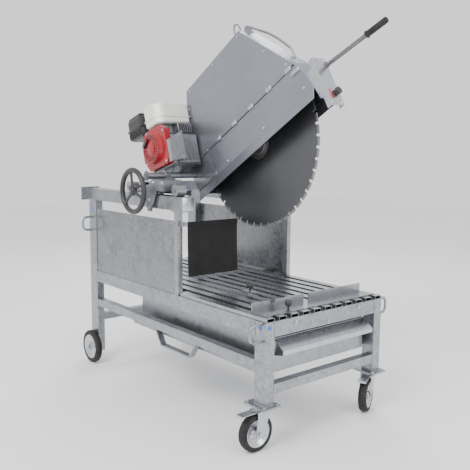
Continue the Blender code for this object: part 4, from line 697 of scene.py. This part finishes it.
# ---- Carriage ----------------------------------------------------------------------------------------
HANDWHEEL_OUT = 0.55
WHEEL = along_axis(joint_place("handwheel_spin"), (0, 1, 0))
WHEEL.translation.y = ROOT.y - HANDWHEEL_OUT
RIM_RADIUS, RIM_THICK = 0.1245, 0.0155
SPOKES, FIRST_SPOKE, SPOKE_START, SPOKE_STEPS, SPOKE_SIDES = 3, 80, 0.018, 8, 14
HUB = [(0.0096, -0.017), (0.022, -0.017), (0.027, -0.012), (0.030, 0.0), (0.027, 0.014), (0.022, 0.017)]
HUB += [(0.0096, 0.017)]
shape = bmesh.new()
add_ring(shape, oval(RIM_THICK, RIM_THICK, 18, RIM_RADIUS), WHEEL, 80)
add_ring(shape, HUB, WHEEL, 48)
for index in range(SPOKES):
    spoke = WHEEL @ Matrix.Rotation(math.radians(FIRST_SPOKE + 360 / SPOKES * index), 4, "Z")
    rows = []
    for step in range(SPOKE_STEPS + 1):
        waist = math.sin(math.pi * step / SPOKE_STEPS)
        out = SPOKE_START + (RIM_RADIUS - SPOKE_START) * step / SPOKE_STEPS
        section = oval(0.019 - 0.009 * waist, 0.0085 - 0.002 * waist, SPOKE_SIDES)
        rows.append([shape.verts.new(spoke @ Vector((out, across, up))) for across, up in section])
    for first, second in zip(rows, rows[1:]):
        for here in range(SPOKE_SIDES):
            after = (here + 1) % SPOKE_SIDES
            shape.faces.new([first[here], first[after], second[after], second[here]])
    shape.faces.new(rows[0])
    shape.faces.new(list(reversed(rows[-1])))
as_piece("handwheel_rim", shape, FINISHES["black_plastic"], "handwheel_set", smooth=50,
         replaced=("handwheel",))
fasteners("handwheel_nut", WHEEL, [((0, 0, 0.0180), (0, 0, 1))], "handwheel_set", 0.010, 0.016, 0.008)

PIVOT_X = -1.062
BOLTS = [((PIVOT_X + x, -0.4710, 1.318), NEARWARD) for x in (0.072, 0.167)]
BOLTS += [((PIVOT_X + 0.030, -0.4720, z), NEARWARD) for z in (1.17, 1.215)]
fasteners("carriage_bolts", FRAME, BOLTS, "carriage", 0.009, 0.013, 0.009)
BEARING = along_axis(FRAME @ Vector((-1.085, 0, 1.266)), (0, 1, 0))
SHAFT_COLLAR = [(0.0195, -0.470), (0.0245, -0.4695), (0.0255, -0.466), (0.0255, -0.452), (0.0195, -0.451)]
turned("bearing_collar", SHAFT_COLLAR, BEARING, 40, FINISHES["black_plastic"], "carriage")

# ---- Hood --------------------------------------------------------------------------------------------
SKIN = -0.0795        # the hood's near face
SEAM_ROD = HEAD @ along_axis(Vector((0, -0.0825, 0.0605)), (1, 0, 0))
turned("seam_rod", rod_profile(0.006, 0.030, 0.2085), SEAM_ROD, 20, FINISHES["bright_zinc"], "head",
       capped=True)
GUSSET = [(-0.020, 0.010), (0.075, -0.045), (0.205, -0.090), (0.205, -0.112), (-0.008, -0.112)]
shape = bmesh.new()
add_slab(shape, GUSSET, -0.0815, -0.0786, HEAD)
as_piece("hood_gusset", shape, FINISHES["bright_zinc"], "head")
RIVETS = ((0.225, 0.474), (0.500, 0.474), (0.765, 0.470), (0.905, 0.262), (1.010, 0.098), (0.160, 0.385),
          (0.010, 0.095))
fasteners("hood_rivets", HEAD, [((u, SKIN, w), NEARWARD) for u, w in RIVETS], "head", 0.005, 0.008, 0.004)
KNUCKLES, FIRST_KNUCKLE, KNUCKLE_STEP, KNUCKLE_LONG = 5, 0.31, 0.17, 0.045
starts = [FIRST_KNUCKLE + KNUCKLE_STEP * index for index in range(KNUCKLES)]
knuckles = [((u, -0.0905, 0.0500), (u + KNUCKLE_LONG, -0.0760, 0.0715), 0.002) for u in starts]
blocks("hinge_knuckles", knuckles, HEAD, FINISHES["bright_zinc"], "head")
BOLTS = [((u, SKIN, w), NEARWARD) for u, w in ((0.335, -0.090), (0.700, -0.095), (1.060, -0.085))]
fasteners("door_screws", HEAD, BOLTS, "door", 0.005, 0.008, 0.004)

BOLTS = [((1.1765, y, w), (1, 0, 0)) for y in (-0.060, 0.010) for w in (0.006, -0.246)]
fasteners("console_screws", HEAD, BOLTS, "head", 0.005, 0.008, 0.004)
RED_STRIP = ((1.1758, -0.050, -0.222), (1.1766, -0.038, -0.165), 0.0)
blocks("console_red_label", (RED_STRIP,), HEAD, RED_LABEL, "head")

DROP, FEED_LENGTH = math.radians(5.95), 0.407
START = Vector((1.168, 0.016, -0.018))
ALONG = Vector((math.cos(DROP), 0, -math.sin(DROP)))
GRIP_END = START + ALONG * (FEED_LENGTH + 0.006)
SLEEVE = [(0.0108, 0.010), (0.0150, 0.010), (0.0150, 0.016), (0.0116, 0.017), (0.0116, 0.291), (0.0108, 0.291)]
turned("feed_handle_tube", SLEEVE, HEAD @ along_axis(START, ALONG), 32, DARK_STEEL, "head")
GRIP_RIBS, RIB_STEP = 14, 0.0074
profile = [(0.0114, -0.127), (0.0185, -0.127), (0.0195, -0.124), (0.0150, -0.119)]
for index in range(GRIP_RIBS):
    base = -0.114 + RIB_STEP * index
    profile += [(0.0146, base), (0.0158, base + 0.0018), (0.0158, base + 0.0046)]
profile += [(0.0152, -0.008), (0.0152, -0.003), (0.0125, 0.0), (0.0, 0.0), (0.0, -0.010), (0.0114, -0.010)]
turned("ribbed_grip", profile, HEAD @ along_axis(GRIP_END, ALONG), 40, FINISHES["rubber"], "head",
       capped=True, smooth=30, replaced=("handle_grip",))

# ---- Blade -------------------------------------------------------------------------------------------
SPIN = HEAD @ Matrix.Translation((0.541, 0, -0.093)) @ PLANT
TEETH, BLADE_RADIUS, SLOT_WIDE, SLOT_DEEP = 48, 0.4855, 0.0165, 0.0205
HALF_TOOTH, SLOT_EDGE, GULLET = math.pi / TEETH, SLOT_WIDE / 2 / BLADE_RADIUS, BLADE_RADIUS - SLOT_DEEP
TOOTH = [(-HALF_TOOTH, GULLET - 0.004), (-HALF_TOOTH + SLOT_EDGE * 0.8, GULLET)]
TOOTH += [(-HALF_TOOTH + SLOT_EDGE, BLADE_RADIUS), (0.0, BLADE_RADIUS), (HALF_TOOTH - SLOT_EDGE, BLADE_RADIUS)]
TOOTH += [(HALF_TOOTH - SLOT_EDGE * 0.8, GULLET)]
outline = []
for index in range(TEETH):
    middle = 2 * math.pi * index / TEETH
    outline += [(radius * math.cos(middle + turn), radius * math.sin(middle + turn)) for turn, radius in TOOTH]
shape = bmesh.new()
add_slab(shape, outline, -0.0022, 0.0022, SPIN @ PLANT.inverted())
as_piece("blade_disc", shape, FINISHES["blade_steel"], "blade_set", replaced=("blade",))
grow("blade_segments", RING, SEGMENT, "blade_set", "blade_steel", None, SPIN,
     Count=TEETH, Radius=0.4795, Block=(0.0120, 0.0440, 0.0058))
COLLAR = [(0.0735, -0.0024), (0.094, -0.0027), (0.0945, 0.0), (0.094, 0.0027), (0.0735, 0.0024)]
turned("blade_collar", COLLAR, SPIN, 72, SEGMENT, "blade_set")

# ---- Engine ------------------------------------------------------------------------------------------
FRONT = -0.349        # the recoil starter's face
CYLINDER_FACE = 0.106
RECOIL = ENGINE @ Matrix.Translation((-0.01, FRONT, 0)) @ PLANT
ACROSS = Matrix(((0, 1, 0, 0), (1, 0, 0, 0), (0, 0, 1, 0), (0, 0, 0, 1)))     # a slab's outline in y and z
UPRIGHT = Matrix(((1, 0, 0, 0), (0, 0, 1, 0), (0, 1, 0, 0), (0, 0, 0, 1)))    # a slab's outline in x and y

# The starter louvres are painted shade: near-black blocks where the vents are shaded inside.
grow("starter_louvres", RING, SHADOW_SLOT, "head", "red_paint", None, RECOIL, Count=22, Radius=0.066,
     Block=(0.030, 0.0075, 0.0016))
BOSS = [(0.0, -0.001), (0.040, -0.001), (0.040, 0.004), (0.034, 0.0075), (0.018, 0.0095), (0.0, 0.010)]
LIP = [(0.0835, -0.001), (0.0885, -0.002), (0.0885, 0.003), (0.086, 0.0045), (0.0835, 0.003)]
shape = bmesh.new()
add_ring(shape, BOSS, RECOIL, 48)
add_ring(shape, LIP, RECOIL, 64)
tidy_caps(shape)
as_piece("starter_boss", shape, FINISHES["red_paint"], "head")
STARTER_BOLTS = ((-0.118, -0.075), (0.098, -0.108), (0.112, 0.080), (-0.075, 0.110), (-0.128, 0.030))
BOLTS = [((x, FRONT + 0.0215, z), NEARWARD) for x, z in STARTER_BOLTS]
fasteners("starter_bolts", ENGINE, BOLTS, "head", 0.005, 0.0075, 0.005)

CRANKCASE = ((-0.122, -0.2905, -0.1330), (0.125, -0.0875, 0.055), 0.010)
FOOT = ((-0.140, -0.262, -0.1330), (0.145, -0.110, -0.1180), 0.003)
CYLINDER = ((0.020, -0.272, 0.000), (0.104, -0.117, 0.066), 0.006)
TANK_STAND = ((-0.080, -0.260, 0.050), (0.050, -0.140, 0.1395), 0.003)
PLATE_BRACKET = ((0.120, -0.279, -0.080), (0.160, -0.240, -0.020), 0.003)
blocks("engine_casting", (CRANKCASE, FOOT, CYLINDER, TANK_STAND, PLATE_BRACKET), ENGINE,
       FINISHES["cast_aluminium"], "head", replaced=("engine_block",))
PLATE_SIDE = [(-0.325, -0.125), (-0.225, -0.112), (-0.225, 0.064), (-0.325, 0.012)]
PLATE_FLANGE = [(-0.325, -0.125), (-0.319, -0.124), (-0.319, 0.013), (-0.325, 0.012)]
shape = bmesh.new()
add_slab(shape, PLATE_SIDE, 0.158, 0.165, ENGINE @ ACROSS)
add_slab(shape, PLATE_FLANGE, 0.130, 0.160, ENGINE @ ACROSS)
as_piece("engine_side_plate", shape, FINISHES["steel"], "head")
grow("cylinder_fins", ROW, FINISHES["cast_aluminium"], "head", "cast_aluminium", None, ENGINE,
     Count=7, First=(0.065, -0.196, 0.006), Step=(0.0, 0.0, 0.0098), Block=(0.088, 0.172, 0.0030))
grow("crankcase_ribs", ROW, FINISHES["cast_aluminium"], "head", "cast_aluminium", None, ENGINE,
     Count=6, First=(0.1265, -0.255, -0.100), Step=(0.0, 0.029, 0.0), Block=(0.007, 0.004, 0.075))
PLATE_BOLTS_YZ = ((-0.312, -0.105), (-0.245, -0.100), (-0.312, -0.008), (-0.245, 0.035))
BOLTS = [((0.1660, y, z), (1, 0, 0)) for y, z in PLATE_BOLTS_YZ]
fasteners("side_plate_bolts", ENGINE, BOLTS, "head", 0.006, 0.009, 0.005)

TANK = [(-0.105, -0.087), (-0.105, -0.284), (-0.060, -0.329), (0.040, -0.329), (0.085, -0.284), (0.085, -0.087)]
TANK_MIDDLE = -0.208
SEAM = [(x * 1.045 + 0.0004, (y - TANK_MIDDLE) * 1.035 + TANK_MIDDLE) for x, y in TANK]
shape = bmesh.new()
add_slab(shape, SEAM, 0.1800, 0.1835, ENGINE @ UPRIGHT)
as_piece("tank_seam", shape, FINISHES["tank_paint"], "head")
CAP = Matrix.Translation(joint_place("cap_turn")) @ Matrix.Rotation(math.radians(-ENGINE_TILT), 4, "Y")
grow("cap_ribs", RING, FINISHES["black_plastic"], "cap", "black_plastic", None,
     CAP @ Matrix.Translation((0, 0, 0.009)), Count=20, Radius=0.0292, Block=(0.003, 0.004, 0.016))
CAP_DOME = [(0.0, 0.017), (0.022, 0.0175), (0.024, 0.019), (0.020, 0.0215), (0.0, 0.0225)]
turned("cap_top", CAP_DOME, CAP, 40, FINISHES["black_plastic"], "cap", capped=True)

LID = ((-0.333, -0.303, 0.196), (-0.155, -0.147, 0.208), 0.003)
LID_STEP = ((-0.318, -0.288, 0.280), (-0.170, -0.162, 0.289), 0.004)
blocks("filter_lid", (LID, LID_STEP), ENGINE, FINISHES["black_plastic"], "head")
grow("filter_ribs", ROW, FINISHES["black_plastic"], "head", "black_plastic", None, ENGINE,
     Count=8, First=(-0.310, -0.301, 0.168), Step=(0.019, 0.0, 0.0), Block=(0.006, 0.006, 0.044))
turned("filter_knob", rod_profile(0.011, 0.288, 0.303), ENGINE @ Matrix.Translation((-0.244, -0.225, 0)), 24,
       FINISHES["steel"], "head", capped=True)
GUARD = ((0.054, -0.205, 0.072), (CYLINDER_FACE, -0.100, 0.1340), 0.005)
blocks("muffler_guard", (GUARD,), ENGINE, DARK_STEEL, "head", replaced=("muffler",))
# The muffler slots are painted shade: near-black blocks where the openings are shaded inside.
grow("muffler_slots", ROW, SHADOW_SLOT, "head", "steel", None, ENGINE,
     Count=6, First=(CYLINDER_FACE, -0.191, 0.104), Step=(0.0, 0.0155, 0.0), Block=(0.0012, 0.007, 0.040))
plug = ENGINE @ along_axis(Vector((0.092, -0.275, 0.088)), (0.75, -0.65, 0.1))
shape = bmesh.new()
add_ring(shape, rod_profile(0.010, 0.0, 0.038, 0.002), plug, 24)
add_ring(shape, rod_profile(0.013, 0.006, 0.016, 0.002), plug, 24)
tidy_caps(shape)
as_piece("plug_cap", shape, FINISHES["black_plastic"], "head")

# ---- Stage, light and camera -------------------------------------------------------------------------
floor_mesh = bpy.data.meshes.new("floor")
floor_mesh.from_pydata([(-14, -14, 0), (14, -14, 0), (14, 14, 0), (-14, 14, 0)], [], [(0, 1, 2, 3)])
floor = bpy.data.objects.new("floor", floor_mesh)
bpy.context.scene.collection.objects.link(floor)
pale = bpy.data.materials.new("pale_floor")
pale.use_nodes = True
pale.node_tree.nodes["Principled BSDF"].inputs["Base Color"].default_value = (0.95, 0.95, 0.95, 1)
pale.node_tree.nodes["Principled BSDF"].inputs["Roughness"].default_value = 0.7
floor_mesh.materials.append(pale)

world = bpy.data.worlds.new("studio")
world.use_nodes = True
world.node_tree.nodes["Background"].inputs["Color"].default_value = (0.98, 0.985, 1.0, 1)
world.node_tree.nodes["Background"].inputs["Strength"].default_value = 1.25
bpy.context.scene.world = world


def area_light(name, place, aim, size, power):
    """A rectangular lamp at a place, turned towards its aim."""
    data = bpy.data.lights.new(name, "AREA")
    data.shape = "RECTANGLE"
    data.size, data.size_y = size
    data.energy = power
    light = bpy.data.objects.new(name, data)
    bpy.context.scene.collection.objects.link(light)
    light.location = place
    light.rotation_mode = "QUATERNION"
    light.rotation_quaternion = (Vector(aim) - Vector(place)).to_track_quat("-Z", "Y")


area_light("key", (1.2, -4.2, 4.6), (0, 0, 0.9), (2.6, 2.0), 230)
area_light("fill", (5.2, 0.8, 2.4), (0, 0, 0.8), (2.2, 2.4), 90)
area_light("back", (-3.6, 3.0, 4.2), (0, 0, 1.0), (2.5, 1.6), 110)

AZIMUTH, PITCH, ROLL = math.radians(50.8), math.radians(7.58), math.radians(0.41)
reach = math.cos(PITCH)
forward = Vector((-math.sin(AZIMUTH) * reach, math.cos(AZIMUTH) * reach, -math.sin(PITCH)))
camera_data = bpy.data.cameras.new("camera")
camera_data.lens = 48.45
camera_data.sensor_width = 36
camera_data.shift_x = 0.00723
camera_data.shift_y = 0.0019
camera = bpy.data.objects.new("camera", camera_data)
bpy.context.scene.collection.objects.link(camera)
camera.location = Vector((2.224, -2.484, 1.503)) + ROOT
camera.rotation_mode = "QUATERNION"
camera.rotation_quaternion = forward.to_track_quat("-Z", "Y") @ Quaternion((0, 0, 1), ROLL)
bpy.context.scene.camera = camera
